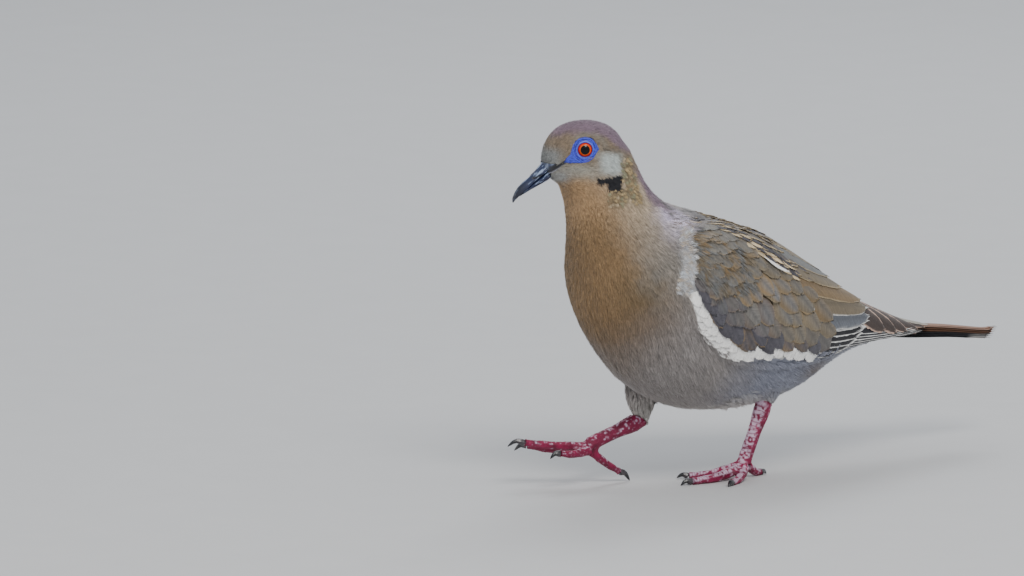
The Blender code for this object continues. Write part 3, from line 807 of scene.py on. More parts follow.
def spaced(p, gaps):
    """Takes the places in their order, each only where it keeps its gap from those taken before."""
    cells = np.floor(p / gaps.max()).astype(int).tolist()
    taken = {}
    chosen = []
    for number, ((i, j, k), (x, y, z), gap) in enumerate(zip(cells, p.tolist(), gaps.tolist())):
        near = (taken.get((i + di, j + dj, k + dk), ()) for di, dj, dk in NEIGHBOURS)
        if all((x - a) ** 2 + (y - b) ** 2 + (z - c) ** 2 >= gap ** 2 for group in near for a, b, c in group):
            taken.setdefault((i, j, k), []).append((x, y, z))
            chosen.append(number)
    return np.array(chosen)


def plant(mask, gap, tries, seed, side=0):
    """Evenly scattered roots on the skin and its normals there. mask keeps some places, and side keeps
    one side of the body. gap is the spacing, or gives it at places."""
    local = np.random.default_rng(seed)
    a, b, c = (OUTER[OUTER_FACES[:, k]] for k in range(3))
    area = np.linalg.norm(np.cross(b - a, c - a), axis=1)
    middle = (a + b + c) / 3
    faces = np.where(mask(middle) & (middle[:, 1] * side <= 0))[0]
    picked = faces[local.choice(len(faces), tries, p=area[faces] / area[faces].sum())]
    u, v = local.random(tries), local.random(tries)
    flip = u + v > 1
    u, v = np.where(flip, 1 - u, u), np.where(flip, 1 - v, v)
    p = a[picked] * (1 - u - v)[:, None] + b[picked] * u[:, None] + c[picked] * v[:, None]
    chosen = spaced(p, gap(p) if callable(gap) else np.full(tries, gap))
    u, v, corners = u[chosen, None], v[chosen, None], OUTER_FACES[picked[chosen]]
    n = unit(sum(OUTER_NORMALS[corners[:, k]] * w for k, w in enumerate((1 - u - v, u, v))))
    return p[chosen], n


def kept_short(avoid, p, way, length):
    """Lengths drawn in where feathers would reach what avoid marks, and True for those that then clear it."""
    for _ in range(4):
        hit = avoid(p + way * length[:, None]) | avoid(p + way * (0.6 * length)[:, None])
        length = np.where(hit, length * 0.6, length)
    return length, ~hit


# The levels of a barb: share of its length, of the fan's width and of the barb's own width. The first two
# have two corners each and the last is its point.
BARB_LEVELS = ((0.0, 0.3, 0.8), (0.55, 0.75, 1.0), (1.0, 1.05, 0.0))
BARB_FACES = ((0, 1, 3), (0, 3, 2), (2, 3, 4))
BARB_CORNERS = 5


def tufts(name, p, n, length, spread, strips, lift, width, seed, colour=None, contrast=0.10, avoid=None,
          ruffle=0.06, way=None, root_shade=0.9):
    """Small feathers, each a fan of fine tapered barbs that follows the surface from root to tip. Feathers
    whose tips would lie where avoid says so are shortened or left out."""
    local = np.random.default_rng(seed)
    way = flow_at(p, n) if way is None else way
    length, spread, lift, width = (np.broadcast_to(v, len(p)) for v in (length, spread, lift, width))
    if avoid is not None:
        length, keep = kept_short(avoid, p, way, length)
        p, n, way, length, spread, width, lift = (v[keep] for v in (p, n, way, length, spread, width, lift))
        colour = None if colour is None else colour[keep]
    count = len(p)
    depth = coat_depth(p)
    side = np.cross(n, way)
    swing = noise(p, 5.0, seed + 20) * 0.12 + local.normal(0, 0.06, count)
    way = unit(way + side * (swing + local.normal(0, ruffle, count))[:, None])
    side = np.cross(n, way)
    half, n1 = nearest(OUTER_TREE, p + way * (length * 0.5)[:, None])
    tip, n2 = nearest(OUTER_TREE, p + way * length[:, None])
    root = p - n * (depth * 0.8)[:, None]
    loose = 1 + 0.5 * local.random(count)
    half = half + n1 * (0.35 * lift * loose - 0.1)[:, None]
    tip = tip + n2 * (lift * loose)[:, None]
    c = np.linspace(-1, 1, strips)[None, :] + local.normal(0, 0.12, (count, strips))
    reach = 1 - 0.28 * c ** 2 - 0.16 * local.random((count, strips))
    roll = local.normal(0, 0.10, (count, strips)) * length[:, None]
    rows = []
    for t, fan, thick in BARB_LEVELS:
        s = (t * reach)[..., None]
        curve = (root[:, None] * (1 - s) * (1 - 2 * s) + half[:, None] * 4 * s * (1 - s)
                 + tip[:, None] * s * (2 * s - 1))
        shift = (c * spread[:, None] * fan)[..., None] * side[:, None]
        rise = (roll * t * 0.35)[..., None] * n[:, None]
        centre = curve + shift + rise
        if thick > 0:
            wide = (width[:, None] * thick * (0.8 + 0.4 * local.random((count, strips))))[..., None]
            turn = side[:, None] + 0.25 * local.normal(0, 1, (count, strips, 1)) * n[:, None]
            rows += [centre - turn * wide / 2, centre + turn * wide / 2]
        else:
            rows.append(centre)
    co = np.stack(rows, 2).reshape(-1, 3)
    first = (np.arange(count * strips) * BARB_CORNERS)[:, None]
    faces = np.concatenate([first + corners for corners in BARB_FACES])
    if colour is None:
        colour = markings(p)
    bar = 1 + local.normal(0, contrast, (count, strips))
    bar = bar * (1 + local.normal(0, 0.06, (count, 1)))
    # Painted shade at each feather's root (root_shade) and a painted highlight at its tip.
    shade_to_highlight = np.array([root_shade, root_shade, 1.02, 1.02, 1.14])      # toward the tip
    tint = (colour[:, None, None] * bar[..., None, None] * shade_to_highlight[:, None]).reshape(-1, 3)
    across = np.clip(c, -1, 1)[..., None] * 0.0012 + np.array([-1, 1, -1, 1, 0]) * 0.0002
    down = np.array([-0.0013, -0.0013, 0.0002, 0.0002, 0.0015])
    patch = np.stack(np.broadcast_arrays(down, across), -1)
    uv = (unwrap(p)[:, None, None] + patch).reshape(-1, 2)
    make(name, co, [faces], [TUFT], tint, uv=uv)


# ---------------------------------------------------------------- vanes

def outline(u, sharp):
    """Half-width of a feather along its length, as a share of its greatest."""
    rise = 0.45 + 0.55 * step(0.0, 0.4, u)
    k = np.clip((u - 0.5) / 0.5, 0, 1)
    return rise * (1 - k ** sharp) ** (1 / sharp)


class Vanes:
    """Collects whole feathers and makes them into one piece."""

    def __init__(self, seed, rows=11, columns=9):
        self.rng = np.random.default_rng(seed)
        self.rows = rows
        self.columns = columns
        self.down = np.linspace(0, 1, rows) ** 0.85     # shares of a feather's length, closer near its tip
        self.co, self.tint, self.lay, self.uv = [], [], [], []
        self.faces, self.loose, self.count = [], [], 0

    def store(self, *values):
        """Keeps corners with their tint, lay and UV, and gives the number of the first."""
        first = self.count
        self.count += values[0][..., 0].size
        for kept, v in zip((self.co, self.tint, self.lay, self.uv), values):
            kept.append(v.reshape(-1, v.shape[-1]))
        return first

    def add(self, root, tip, width, under, heights, body, rim, rim_width, mirror=1, sharp=2.2, bend=0.0,
            camber=0.5, tilt=0.22, ragged=0.012, shaft=0.0, rim_high=1.0, rim_from=-1.0, mottle=0.06,
            streak=None, curl=0.0, fringe=0.0, tip_rim=1.0):
        """root and tip (n, 3) lie on a surface that under(points) gives with its normals; heights is how
        far (root, tip) stand above it. +v runs toward the back where mirror is the wing's side. body,
        rim and streak are the colours of the vane, of its edge and along its shaft. rim_high and tip_rim
        change the rim's width on the +v edge and at the tip, and it starts at rim_from."""
        count = len(root)
        local = self.rng

        def each(value):
            return np.broadcast_to(np.asarray(value, float), count)[:, None, None]

        def tinted(value):
            return np.broadcast_to(value, (count, 3))[:, None, None]

        width, rim_width, bend, sharp = each(width), each(rim_width), each(bend), each(sharp)
        low, high = each(heights[0]), each(heights[1])
        length = np.linalg.norm(tip - root, axis=1)[:, None, None]
        way = unit(tip - root)
        _, normal = under(root)
        side = unit(np.cross(normal, way)) * mirror
        u = self.down[None, :, None]
        v = (np.sin(np.linspace(-1, 1, self.columns) * 1.45) / math.sin(1.45))[None, None, :]
        half = width / 2 * outline(u, sharp)
        uneven = 1 + 3 * ragged * local.normal(0, 1, (count, self.rows, 1)) * (np.abs(v) > 0.95)
        reach = 1 - 0.06 * v ** 2 * u + ragged * local.normal(0, 1, (count, 1, self.columns)) * u
        place = (root[:, None, None] + way[:, None, None] * (length * u * reach)[..., None]
                 + side[:, None, None] * (v * half * uneven + bend * u ** 2)[..., None])
        at, up = (a.reshape(place.shape) for a in under(place.reshape(-1, 3)))
        rise = low + (high - low) * u + camber * half / 6.0 * (1 - v ** 2) - tilt * v + curl * u ** 3
        co = at + up * rise[..., None]
        edge = np.minimum((1 - np.abs(v)) * half, (1 - u) * length * 0.9 / tip_rim)
        rims = rim_width * np.where(v < 0, 1.0, rim_high) * step(rim_from, rim_from + 0.2, u)
        rims = rims * (1 + 0.2 * local.normal(0, 1, (count, self.rows, self.columns)))
        t = (1 - step(0.35, 1.15, edge / np.maximum(rims, 1e-3))) * (rims > 0.02)
        colour = tinted(body) * (1 + local.normal(0, mottle, (count, 1, 1, 1)))
        if streak is not None:
            middle = np.clip(1.1 - np.abs(v) * 1.5, 0, 1) * step(0.1, 0.5, u) * (1 - step(0.85, 1.0, u))
            colour = mix(colour, tinted(streak), middle * 0.75)
        colour = mix(colour, tinted(rim), t)
        if shaft:
            colour = colour * (1 - shaft * (np.abs(v) < 0.05) * (1 - t))[..., None]
        number = local.random((count, 1, 1)) * 50
        lay = np.stack(np.broadcast_arrays(u * length, v * half, number), -1)
        uv = unwrap(root)[:, None, None] + 0.0015 * np.stack(np.broadcast_arrays(u * 2 - 1, v), -1)
        first = self.store(co, colour, lay, uv)
        starts = first + np.arange(count) * self.rows * self.columns
        cells = quads(self.rows, self.columns, flip=mirror < 0)
        self.faces.append((cells[None] + starts[:, None, None]).reshape(-1, 4))
        if fringe:
            for column, sign in ((0, -1.0), (-1, 1.0)):
                self.fray(column, sign, fringe, (co, colour, lay, uv), way, normal, side)

    def fray(self, column, sign, fringe, values, way, normal, side):
        """Loose barb ends round the outer part of one edge of each feather, one thin triangle each."""
        local = self.rng
        co = values[0]
        count, rows = co.shape[:2]
        many = (count, 26)
        t = np.linspace(0.36, 0.985, many[1]) * (rows - 1) + local.uniform(-0.2, 0.2, many)
        i = np.clip(t.astype(int), 0, rows - 2)
        f = (t - i)[..., None]
        pick = np.arange(count)[:, None]
        lines = [v[:, :, column] for v in values]
        base, colour, lay, uv = (line[pick, i] * (1 - f) + line[pick, i + 1] * f for line in lines)
        spread = local.uniform(0.25, 0.75, many + (1,)) * sign * (1 - 0.6 * t / rows)[..., None]
        out = unit(way[:, None] + side[:, None] * spread)
        long = fringe * local.uniform(0.4, 1.3, many + (1,))
        tip = base + out * long + normal[:, None] * local.normal(0, 0.08, many + (1,))
        wide = unit(np.diff(co[:, :, column], axis=1))[pick, i] * local.uniform(0.1, 0.22, many + (1,))
        inward = -side[:, None] * sign * 0.25
        corners = np.stack([base - wide + inward, base + wide + inward, tip], 2)
        tint = np.stack([colour] * 3, 2) * local.normal(1.0, 0.1, many + (1, 1))
        patch = np.stack([uv] * 3, 2) + np.array([(-3e-5, 0), (3e-5, 0), (0, 4e-5 * sign)])
        first = self.store(corners, tint, np.stack([lay] * 3, 2), patch)
        triangles = first + np.arange(count * many[1] * 3).reshape(-1, 3)
        self.loose.append(triangles if sign < 0 else triangles[:, ::-1])

    def finish(self, name, stands_for=()):
        """Makes the piece."""
        faces = [np.concatenate(f) for f in (self.faces, self.loose) if f]
        co, tint, lay, uv = (np.concatenate(v) for v in (self.co, self.tint, self.lay, self.uv))
        make(name, co, faces, [VANE], tint, stands_for, lay, uv)


def on_line(line, share):
    """Points on a (place, angle) line at shares of its length, counted in its rows."""
    line = np.asarray(line, float)
    k = np.linspace(0, 1, len(line))
    return np.interp(share, k, line[:, 0]), np.interp(share, k, line[:, 1])


# Feather rows of the folded wing. Their tips lie on lines of (share of the wing's length, degrees from
# the back) from front to rear, and each covert row starts with its number of feathers.
WHITE_TIPS = (
    (0.07, 113.5), (0.10, 117), (0.14, 119.5), (0.18, 120), (0.22, 117), (0.28, 110), (0.34, 106),
    (0.42, 105), (0.50, 108),
)
WHITE_FRONT_TIPS = ((0.055, 105), (0.085, 110), (0.12, 114), (0.16, 115), (0.20, 113))
SLATE_TIPS = (
    (0.07, 97), (0.10, 103), (0.14, 107), (0.19, 109), (0.24, 106), (0.29, 101), (0.35, 97), (0.43, 98),
    (0.52, 101),
)
COVERT_ROWS = (
    (12, ((0.07, 95), (0.16, 98), (0.25, 95), (0.36, 91), (0.46, 92), (0.565, 95))),
    (11, ((0.065, 88), (0.15, 90), (0.25, 86), (0.36, 81), (0.47, 82), (0.585, 85))),
    (10, ((0.065, 81), (0.14, 82), (0.24, 77), (0.35, 71), (0.46, 70), (0.57, 74))),
    (10, ((0.07, 74), (0.13, 75), (0.22, 69), (0.32, 62), (0.42, 59), (0.52, 61))),
    (9, ((0.075, 67), (0.13, 67), (0.20, 61), (0.28, 54), (0.36, 50), (0.43, 50))),
    (8, ((0.085, 60), (0.13, 59), (0.18, 54), (0.25, 48), (0.31, 44))),
    (6, ((0.10, 53), (0.14, 51), (0.18, 47), (0.23, 42))),
    (4, ((0.12, 47), (0.15, 45), (0.18, 41))),
)
PRIMARY_TIPS = ((0.955, 80), (0.917, 85), (0.870, 88), (0.820, 88), (0.768, 86))
SECONDARY_TIPS = ((0.60, 103), (0.632, 97), (0.658, 90), (0.678, 83), (0.694, 76), (0.702, 69))
TERTIALS = (                        # root, tip, width, colour
    ((0.42, 76), (0.703, 71), 9.0, mix(COVERT_BLUE, SLATE, 0.35) * 0.85),
    ((0.40, 64), (0.712, 61), 10.0, COVERT), ((0.37, 52), (0.700, 51), 10.5, COVERT_BROWN),
    ((0.34, 42), (0.63, 42), 10.5, COVERT), ((0.32, 30), (0.60, 33), 11.0, COVERT_GREY),
    ((0.30, 20), (0.60, 22), 11.0, COVERT), ((0.28, 10), (0.57, 12), 11.0, COVERT_GREY),
    ((0.28, 2), (0.53, 4), 10.0, COVERT),
)
STRIPES = (                         # degrees past the scapulars' edge, colour
    (-2.0, SLATE_DARK * 0.8), (0.0, CREAM * 1.25), (3.4, SLATE_DARK * 0.8), (5.2, CREAM * 1.15),
)


def rump_surface():
    """Places and normals on the rump and tail's back, straight under or over any points."""
    tree = tree_of(*triangles_of(["rump", "tail", "trunk"]))

    def under(p):
        at, up = np.empty_like(p), np.empty_like(p)
        for i, q in enumerate(p):
            hit = tree.ray_cast(Vector((q[0], q[1], 200.0)), Vector((0, 0, -1)))
            if hit[0] is None:
                hit = tree.find_nearest(Vector((q[0], q[1], q[2] if q[2] > 10 else 50.0)))
            at[i], up[i] = hit[0], hit[1]
        up[:, 2] = np.maximum(up[:, 2], 0.4)
        return at, unit(up)
    return under


class Wing:
    """Lays feathers on one folded wing. side is 1 on the left and -1 on the right."""

    def __init__(self, side, seed):
        self.side = side
        self.rng = np.random.default_rng(seed)

    def place(self, w, angle):
        """Places at shares of the wing's length and degrees from the back."""
        return shell(WING_FROM + w * (WING_TO - WING_FROM), angle, self.side)

    def under(self, p):
        return shell_under(p, self.side)

    def row(self, vanes, tips, count, length, dip, width, heights, body, rim, rim_width, wander=0.5,
            stray=0.5, **more):
        """A row of feathers whose tips lie on a line. length, dip (degrees below straight back) and width
        run from the row's first feather to its last. wander and stray set the tips astray by millimetres."""
        local = self.rng
        step_wide = np.linspace(width[0], width[1], count)
        share = (np.cumsum(step_wide) - step_wide / 2) / step_wide.sum()
        w, angle = on_line(tips, share)
        w = w + local.normal(0, wander, count) / (WING_TO - WING_FROM)
        tip = self.place(w, angle + local.normal(0, wander, count))
        _, up = self.under(tip)
        ahead = flat_on(up, REARWARD)
        down = np.cross(up, ahead) * -self.side
        long = length[0] + (length[1] - length[0]) * share
        lean = np.radians(dip[0] + (dip[1] - dip[0]) * share + local.normal(0, 5, count))
        way = ahead * np.cos(lean)[:, None] + down * np.sin(lean)[:, None]
        tip, _ = self.under(tip + way * local.normal(0, stray, count)[:, None])
        root, _ = self.under(tip - way * long[:, None])
        bury = 1.1 * (1 - step(WING_FROM + 2, WING_FROM + 20, tip[:, 0]))
        wide = (width[0] + (width[1] - width[0]) * share) * local.uniform(1.18, 1.38, count)
        lift = [h * (1 + 0.08 * local.normal(0, 1, count)) - bury for h in heights]
        body, rim = (value(w, angle) if callable(value) else value for value in (body, rim))
        vanes.add(root, tip, wide, self.under, lift, body, rim, rim_width, mirror=self.side, **more)

    def one(self, vanes, root, tip, width, heights, body, rim, rim_width, **more):
        """A single feather from one (share, angle) place to another."""
        w, angle = np.array([root, tip], float).T
        ends = self.place(w, angle)
        vanes.add(ends[:1], ends[1:], width, self.under, heights, body, rim, rim_width, mirror=self.side,
                  **more)

    def covert_colour(self, w, angle):
        """Slate low in front, olive and brown behind, grey between."""
        local = self.rng
        count = len(w)
        pick = local.random(count)
        colour = mix(COVERT_GREY, COVERT, np.clip(w * 3.4 - 0.1 + local.normal(0, 0.25, count), 0, 1))
        colour = mix(colour, COVERT_BROWN, (pick > 0.5) * local.uniform(0.4, 1.0, count))
        slate = step(80, 91, angle + local.normal(0, 3, count)) * (1 - step(0.30, 0.40, w))
        slate = np.maximum(slate, 0.8 * step(0.46, 0.50, w) * step(88, 92, angle))
        return mix(colour, SLATE, slate * local.uniform(0.55, 1.0, count))

    def covert_middle(self, count, angle):
        """The bluer middles of a row of coverts."""
        w = np.linspace(0.07, 0.56, count)
        angle = np.full(count, float(angle))
        grey = mix(self.covert_colour(w, angle), COVERT_GREY, 0.7)
        return mix(grey, COVERT_BLUE, blob((w - 0.39, 0.09), (angle - 76, 12)))

    def slates(self, count):
        """Dark grey, with a brown feather here and there."""
        brown = (self.rng.random(count) < 0.3) * self.rng.uniform(0.3, 0.8, count)
        return mix(mix(SLATE, SLATE_DARK, self.rng.uniform(0, 0.5, count)), COVERT_BROWN, brown)

    def flight(self, vanes):
        """The outer primaries lie lowest, then the inner ones, then the secondaries."""
        self.one(vanes, (0.80, 54), (0.988, 74), 7.4, (-0.8, 0.0), TAN_GREY, TAN_GREY * 1.2, 0.5, sharp=2.4,
                 camber=0.3)
        for k in range(7):          # the row of pale edges along the lower rim
            self.one(vanes, (0.40, 105 - 3.4 * k), (0.962 - 0.05 * (k / 6), 94 - 2.0 * k), 4.0,
                     (-1.1 + 0.04 * k, -0.5 + 0.06 * k), INK, WHITE, 0.36, sharp=1.5, camber=0.1,
                     rim_high=0.0, mottle=0.02)
        for k, (w, angle) in enumerate(PRIMARY_TIPS):
            self.one(vanes, (w - 0.21, 50), (w, angle), 10.6 + 0.4 * k, (-0.8 + 0.05 * k, -0.35 + 0.17 * k),
                     BROWN * 0.8, BUFF * 1.1, 1.1, sharp=2.3, camber=0.25, mottle=0.03, shaft=0.2,
                     rim_from=0.2, tilt=0.1, fringe=0.2)
        for k in range(7):
            self.one(vanes, (0.40, 99 - 3.6 * k), on_line(SECONDARY_TIPS, k / 6), 6.8,
                     (-1.3, 0.15 + 0.06 * k), INK * 0.6, WHITE, 0.46, sharp=2.2, camber=0.1, mottle=0.02,
                     rim_high=0.8, tilt=0.12, fringe=0.25, tip_rim=8.0)

    def coverts(self, vanes):
        """The white band, the slate row above it and the rows of coverts."""
        pale = dict(sharp=1.8, ragged=0.02, mottle=0.02, camber=0.15, shaft=0.04)
        self.row(vanes, WHITE_TIPS, 16, (16, 14), (46, 64), (5.2, 6.8), (-0.8, 0.4), WHITE, WHITE * 0.93,
                 0.2, 0.35, fringe=0.5, **pale)
        self.row(vanes, WHITE_FRONT_TIPS, 7, (11, 15), (54, 46), (4.6, 5.2), (-0.7, 0.5), WHITE, WHITE * 0.93,
                 0.2, 0.35, fringe=0.4, **pale)
        slate_rims = self.slates(15) * 1.15
        self.row(vanes, SLATE_TIPS, 15, (15, 18), (64, 54), (5.2, 8.2), (-1.1, 0.6),
                 lambda w, angle: self.slates(len(w)), slate_rims, 0.35, 0.9, 1.6, streak=SLATE * 1.25,
                 shaft=0.3, ragged=0.02, mottle=0.12, sharp=1.8, fringe=0.9)
        for k, (count, tips) in enumerate(COVERT_ROWS):
            length, dip, width = (11, 22), (62, 48), (5.2, 11.4)
            if k > 2:               # the higher rows are finer
                length, dip, width = (11, 19), (56, 44), (5.0, 9.6)
            streak = self.covert_middle(count, tips[2][1])
            self.row(vanes, tips, count, length, dip, width, (-1.1, 0.3 + 0.06 * k), self.covert_colour,
                     lambda w, angle: self.covert_colour(w, angle) * 1.3, 0.45, 1.3, 0.9, streak=streak,
                     sharp=1.8, mottle=0.1, shaft=0.3, fringe=0.9)

    def scapulars(self, vanes):
        """Tertials, scapulars and the mantle over the top."""
        for k, (root, tip, width, body) in enumerate(TERTIALS):
            rim = WHITE * 0.7 if k < 2 else CREAM * 0.8
            self.one(vanes, root, tip, width, (-0.5, 0.75 + 0.05 * k), body, rim, 0.4, sharp=2.3,
                     camber=0.4, shaft=0.2, streak=body * 0.8, fringe=0.3, rim_high=0.4)
        for k in range(10):
            t = k / 9
            tips = ((0.20, 33 - 30 * t), (0.30, 40 - 36 * t), (0.42, 46 - 42 * t),
                    (0.56 - 0.06 * t, 50 - 46 * t))
            dark = 0.25 + 0.45 * self.rng.random()

            def body(w, angle, dark=dark):
                return mix(COVERT, SLATE_DARK, np.clip(dark + self.rng.normal(0, 0.2, len(w)), 0, 1))

            def rim(w, angle):
                return mix(CREAM * 1.15, COVERT * 1.2, step(0.42, 0.5, w))

            self.row(vanes, tips, 10 + k % 2, (11, 16), (48, 46), (4.6, 6.6), (-0.9, 0.5), body, rim, 0.85,
                     1.0, 1.2, sharp=1.35, streak=SLATE_DARK, shaft=0.2, mottle=0.1, ragged=0.02, fringe=0.6,
                     rim_high=0.7, rim_from=0.35)
        for k in range(9):
            t = k / 8
            tips = ((0.185, 40 - 39 * t), (0.215, 38 - 37 * t), (0.25, 37 - 36 * t), (0.285, 36 - 35 * t))
            self.row(vanes, tips, 5, (9, 9), (14, 18), (4.6, 5.2), (-1.2, 0.15), mix(BACK, COVERT, 0.5),
                     BACK * 1.15, 0.35, 0.9, 0.9, sharp=1.9, mottle=0.09, ragged=0.02, fringe=0.9)
        for angle, body in STRIPES:
            tips = ((0.13, 26 + angle), (0.22, 32 + angle), (0.34, 40 + angle), (0.44, 46 + angle))
            self.row(vanes, tips, 9, (9, 12), (30, 36), (2.6, 3.0), (-0.3, 0.8), body, body * 1.1, 0.3, 0.9,
                     sharp=1.5, shaft=0.1, mottle=0.1, fringe=0.6)
        if self.side > 0:           # one small white feather that has come loose and curls up
            self.one(vanes, (0.295, 44), (0.366, 51), 2.0, (0.8, 1.4), WHITE, WHITE, 0.3, bend=1.2,
                     camber=1.5, curl=1.2, fringe=0.6)


def build_wing(name, side, seed):
    """Three pieces on one wing, each with its own random draws."""
    wing = Wing(side, seed)
    flight = Vanes(seed + 1, 24, 11)
    wing.flight(flight)
    flight.finish(f"flight_{name}", [f"primaries_{name}"])
    coverts = Vanes(seed + 2, 13, 11)
    wing.coverts(coverts)
    coverts.finish(f"coverts_{name}")
    top = Vanes(seed + 3, 16, 9)
    wing.scapulars(top)
    top.finish(f"scapulars_{name}")


def build_rump():
    """Grey feathers of the lower back and the brown ones that cover the tail's root."""
    under = rump_surface()
    rump = Vanes(90, 9, 7)
    start, end = box("rump")[0][0] - 6.0, box("tail")[0][0] + 26.0
    local = np.random.default_rng(91)
    for k in range(11):             # rear rows first
        t = 1 - k / 10
        x = start + (end - start) * t
        half = 17.0 - 6.5 * t
        y = np.linspace(-half, half, 9) + local.normal(0, 0.4, 9)
        tip = np.stack([x + local.normal(0, 0.6, 9) - 0.02 * y ** 2, y, np.zeros(9)], -1)
        root = tip - 11.0 * REARWARD
        root[:, 1] -= 0.12 * y
        colour = mix(RUMP, mix(RUFOUS, TAIL_GREY, 0.35), step(0.45, 0.8, t))
        rump.add(under(root)[0], under(tip)[0], 5.6, under, (0.1, 1.1), colour, colour * 1.15, 0.4, sharp=2.0,
                 tilt=0.1)
    rump.finish("rump_feathers")


def build_scallops(name, side, seed):
    """The small stiff feathers with a golden sheen on one side of the neck."""
    local = np.random.default_rng(seed)

    def zone(p):
        fore, out, up = head_place(p)
        patchy = 0.4 + 0.22 * noise(p, 2.5, 71)
        return (gold_zone(fore, out * side, up) > patchy) & (out * side > 6)

    p, n = plant(zone, 1.5, 8000, seed)
    pick = local.random(len(p))[:, None]
    colour = np.where(pick < 0.55, GOLD, np.where(pick < 0.8, GREEN, mix(GOLD, NECK_SIDE, 0.5)))
    colour = colour * local.uniform(0.8, 1.25, (len(p), 1))
    size = 1 + 0.15 * local.normal(0, 1, len(p))
    tufts(f"neck_scallops_{name}", p, n, 3.0 * size, 0.85 * size, 14, 0.4 * size,
          0.24 * size, 130 + seed, colour=colour, contrast=0.08, ruffle=0.2, root_shade=0.3)


# ---------------------------------------------------------------- tail

def build_tail():
    """Six pairs of tail feathers, closed over each other. The middle three are brown, the others grey
    with a black bar and a white tip."""
    low, high = box("tail")
    tree = tree_of(*triangles_of(["tail"]))
    xs = np.linspace(low[0] + 0.5, high[0] - 0.3, 40)
    top = np.array([tree.ray_cast(Vector((x, 0.2, high[2] + 20)), Vector((0, 0, -1)))[0][2] for x in xs])
    bottom = np.array([tree.ray_cast(Vector((x, 0.2, low[2] - 20)), Vector((0, 0, 1)))[0][2] for x in xs])
    half = (high[1] - low[1]) / 2
    end = high[0] + 7.5
    roof = 0.16                     # how steeply the tail falls away to both sides

    def sheet(level):
        """A surface between the tail's underside (level 0) and its back (level 1)."""
        def under(p):
            z = np.interp(p[:, 0], xs, bottom + (top - bottom) * level)
            z = z - (1.9 - 0.8 * level) * step(high[0] - 30, end, p[:, 0])
            at = np.stack([p[:, 0], p[:, 1], z - roof * np.maximum(np.abs(p[:, 1]) - 1.0, 0)], -1)
            n = unit(np.stack([np.full(len(p), 0.1), roof * np.sign(p[:, 1]), np.ones(len(p))], -1))
            return at, n
        return under

    vanes = Vanes(70, 26, 11)
    for k in range(5, -1, -1):      # the outermost pair lies lowest
        for side in SIDES.values():
            level = 1.0 - (k + (0.3 if side > 0 else 0.0)) / 5.3
            root = np.array([[low[0] - 4.0, -side * (0.6 + 0.3 * k), 0.0]])
            tip = np.array([[end - 1.3 * k, -side * (0.7 + half * 0.05 * k), 0.0]])
            brown = k < 3
            colour = RUFOUS if brown else mix(TAIL_GREY, RUFOUS, 0.2 if k < 4 else 0.0)
            rim = RUFOUS * 0.8 if brown else TAIL_GREY * 0.7
            vanes.add(root, tip, 11.0, sheet(level), (0.0, 0.0), colour, rim, 0.5, sharp=3.2, camber=0.15,
                      ragged=0.003, bend=-side * 0.6 * k / 5, shaft=0.25, mottle=0.03)
            if not brown:
                tint = vanes.tint[-1].reshape(vanes.rows, vanes.columns, 3)
                u = vanes.down[:, None] + 0.01 * vanes.rng.normal(0, 1, tint.shape[:2])
                tint[:] = mix(tint, INK, step(0.30, 0.42, u))
                tint[:] = mix(tint, WHITE, step(0.80, 0.84, u) * (0.9, 0.5, 0.3)[5 - k])
    vanes.finish("tail_feathers", ["tail"])


# ---------------------------------------------------------------- head: bill, eyes, bare skin

def build_bill(name):
    """One half of the bill, with pale streaks along it that are partly painted highlights and, in the upper
    half, a nostril slit under its cover.
    """
    co, faces = remeshed([name], 0.3, 0.0, 2)
    n = normals_of(co, faces)
    fore, out, up = head_place(co)
    height = 0.06 * noise(co * (0.5, 1, 0.5), 0.9, 31)
    slit = np.zeros(len(co))
    if name == "bill_upper":
        t = fore - 19.8
        h = up + 11.9 + 0.22 * t
        on_side = np.abs(out) > 0.5
        slit = blob((t, 2.3), power=4) * blob((h, 0.42)) * on_side
        height = height - 0.7 * slit + 0.3 * blob((t + 0.8, 2.8)) * blob((h - 1.0, 0.8)) * on_side
    else:                           # closed against the upper half at its point
        co = co + np.multiply.outer(step(17, 26, fore), HEAD_FORE * 0.3 + 0.75 * UP)
    ahead, down = 0.78, 0.62        # the bill points this far forward and this far down
    axis = unit(HEAD_FORE * ahead - UP * down)
    buried = step(0.1, 0.6, -(n @ axis)) * step(2.0, 0.0, (co - co[np.argmin(co @ axis)]) @ axis)
    co = co + n * height[:, None] - axis * (1.8 * buried)[:, None]
    lengthwise = np.stack([(fore * ahead - up * down) * 0.16, out, fore * down + up * ahead], -1)
    streaks_and_highlights = noise(lengthwise, 0.6, 32) + 0.5 * noise(lengthwise, 0.3, 33)
    # Pale streaks on the dark horn: partly the horn's own streaks, partly painted highlights.
    colour = mix(lin(26, 38, 72), lin(168, 188, 220), step(0.08, 0.42, streaks_and_highlights) * 0.8)
    colour = mix(colour, lin(16, 20, 32), step(0.72, 1.0, step(8.0, 31.0, fore)) * 0.85)
    # The nostril slit is painted near black: painted shade in its groove.
    colour = mix(colour, lin(12, 12, 16), np.clip(slit * 1.6, 0, 1))
    make(name + "_horn", co, [faces], [HORN], colour, [name])


def build_claws(side):
    """The claws of one foot, smooth and curved, darkest at their points."""
    claws, tints = [], []
    for toe in TOES:
        co, faces = remeshed([f"claw_{toe}_{side}"], 0.16, 0.12, 5)
        base = triangles_of([f"toe_{toe}_{side}"])[0].mean(0)
        reach = np.linalg.norm(co - base, axis=1)
        t = step(reach.min(), reach.max(), reach)
        relief = 0.03 * noise(co, 0.5, 35) + 0.12 * (1 - step(0.1, 0.5, t))
        co = co + normals_of(co, faces) * relief[:, None]
        tints.append(mix(lin(60, 54, 58), lin(14, 14, 20), step(0.1, 0.6, t + 0.1 * noise(co, 0.8, 36))))
        claws.append((co, faces))
    co, faces = joined(claws)
    make(f"claws_{side}_horn", co, [faces], [CLAW], np.concatenate(tints),
         [f"claw_{toe}_{side}" for toe in TOES])


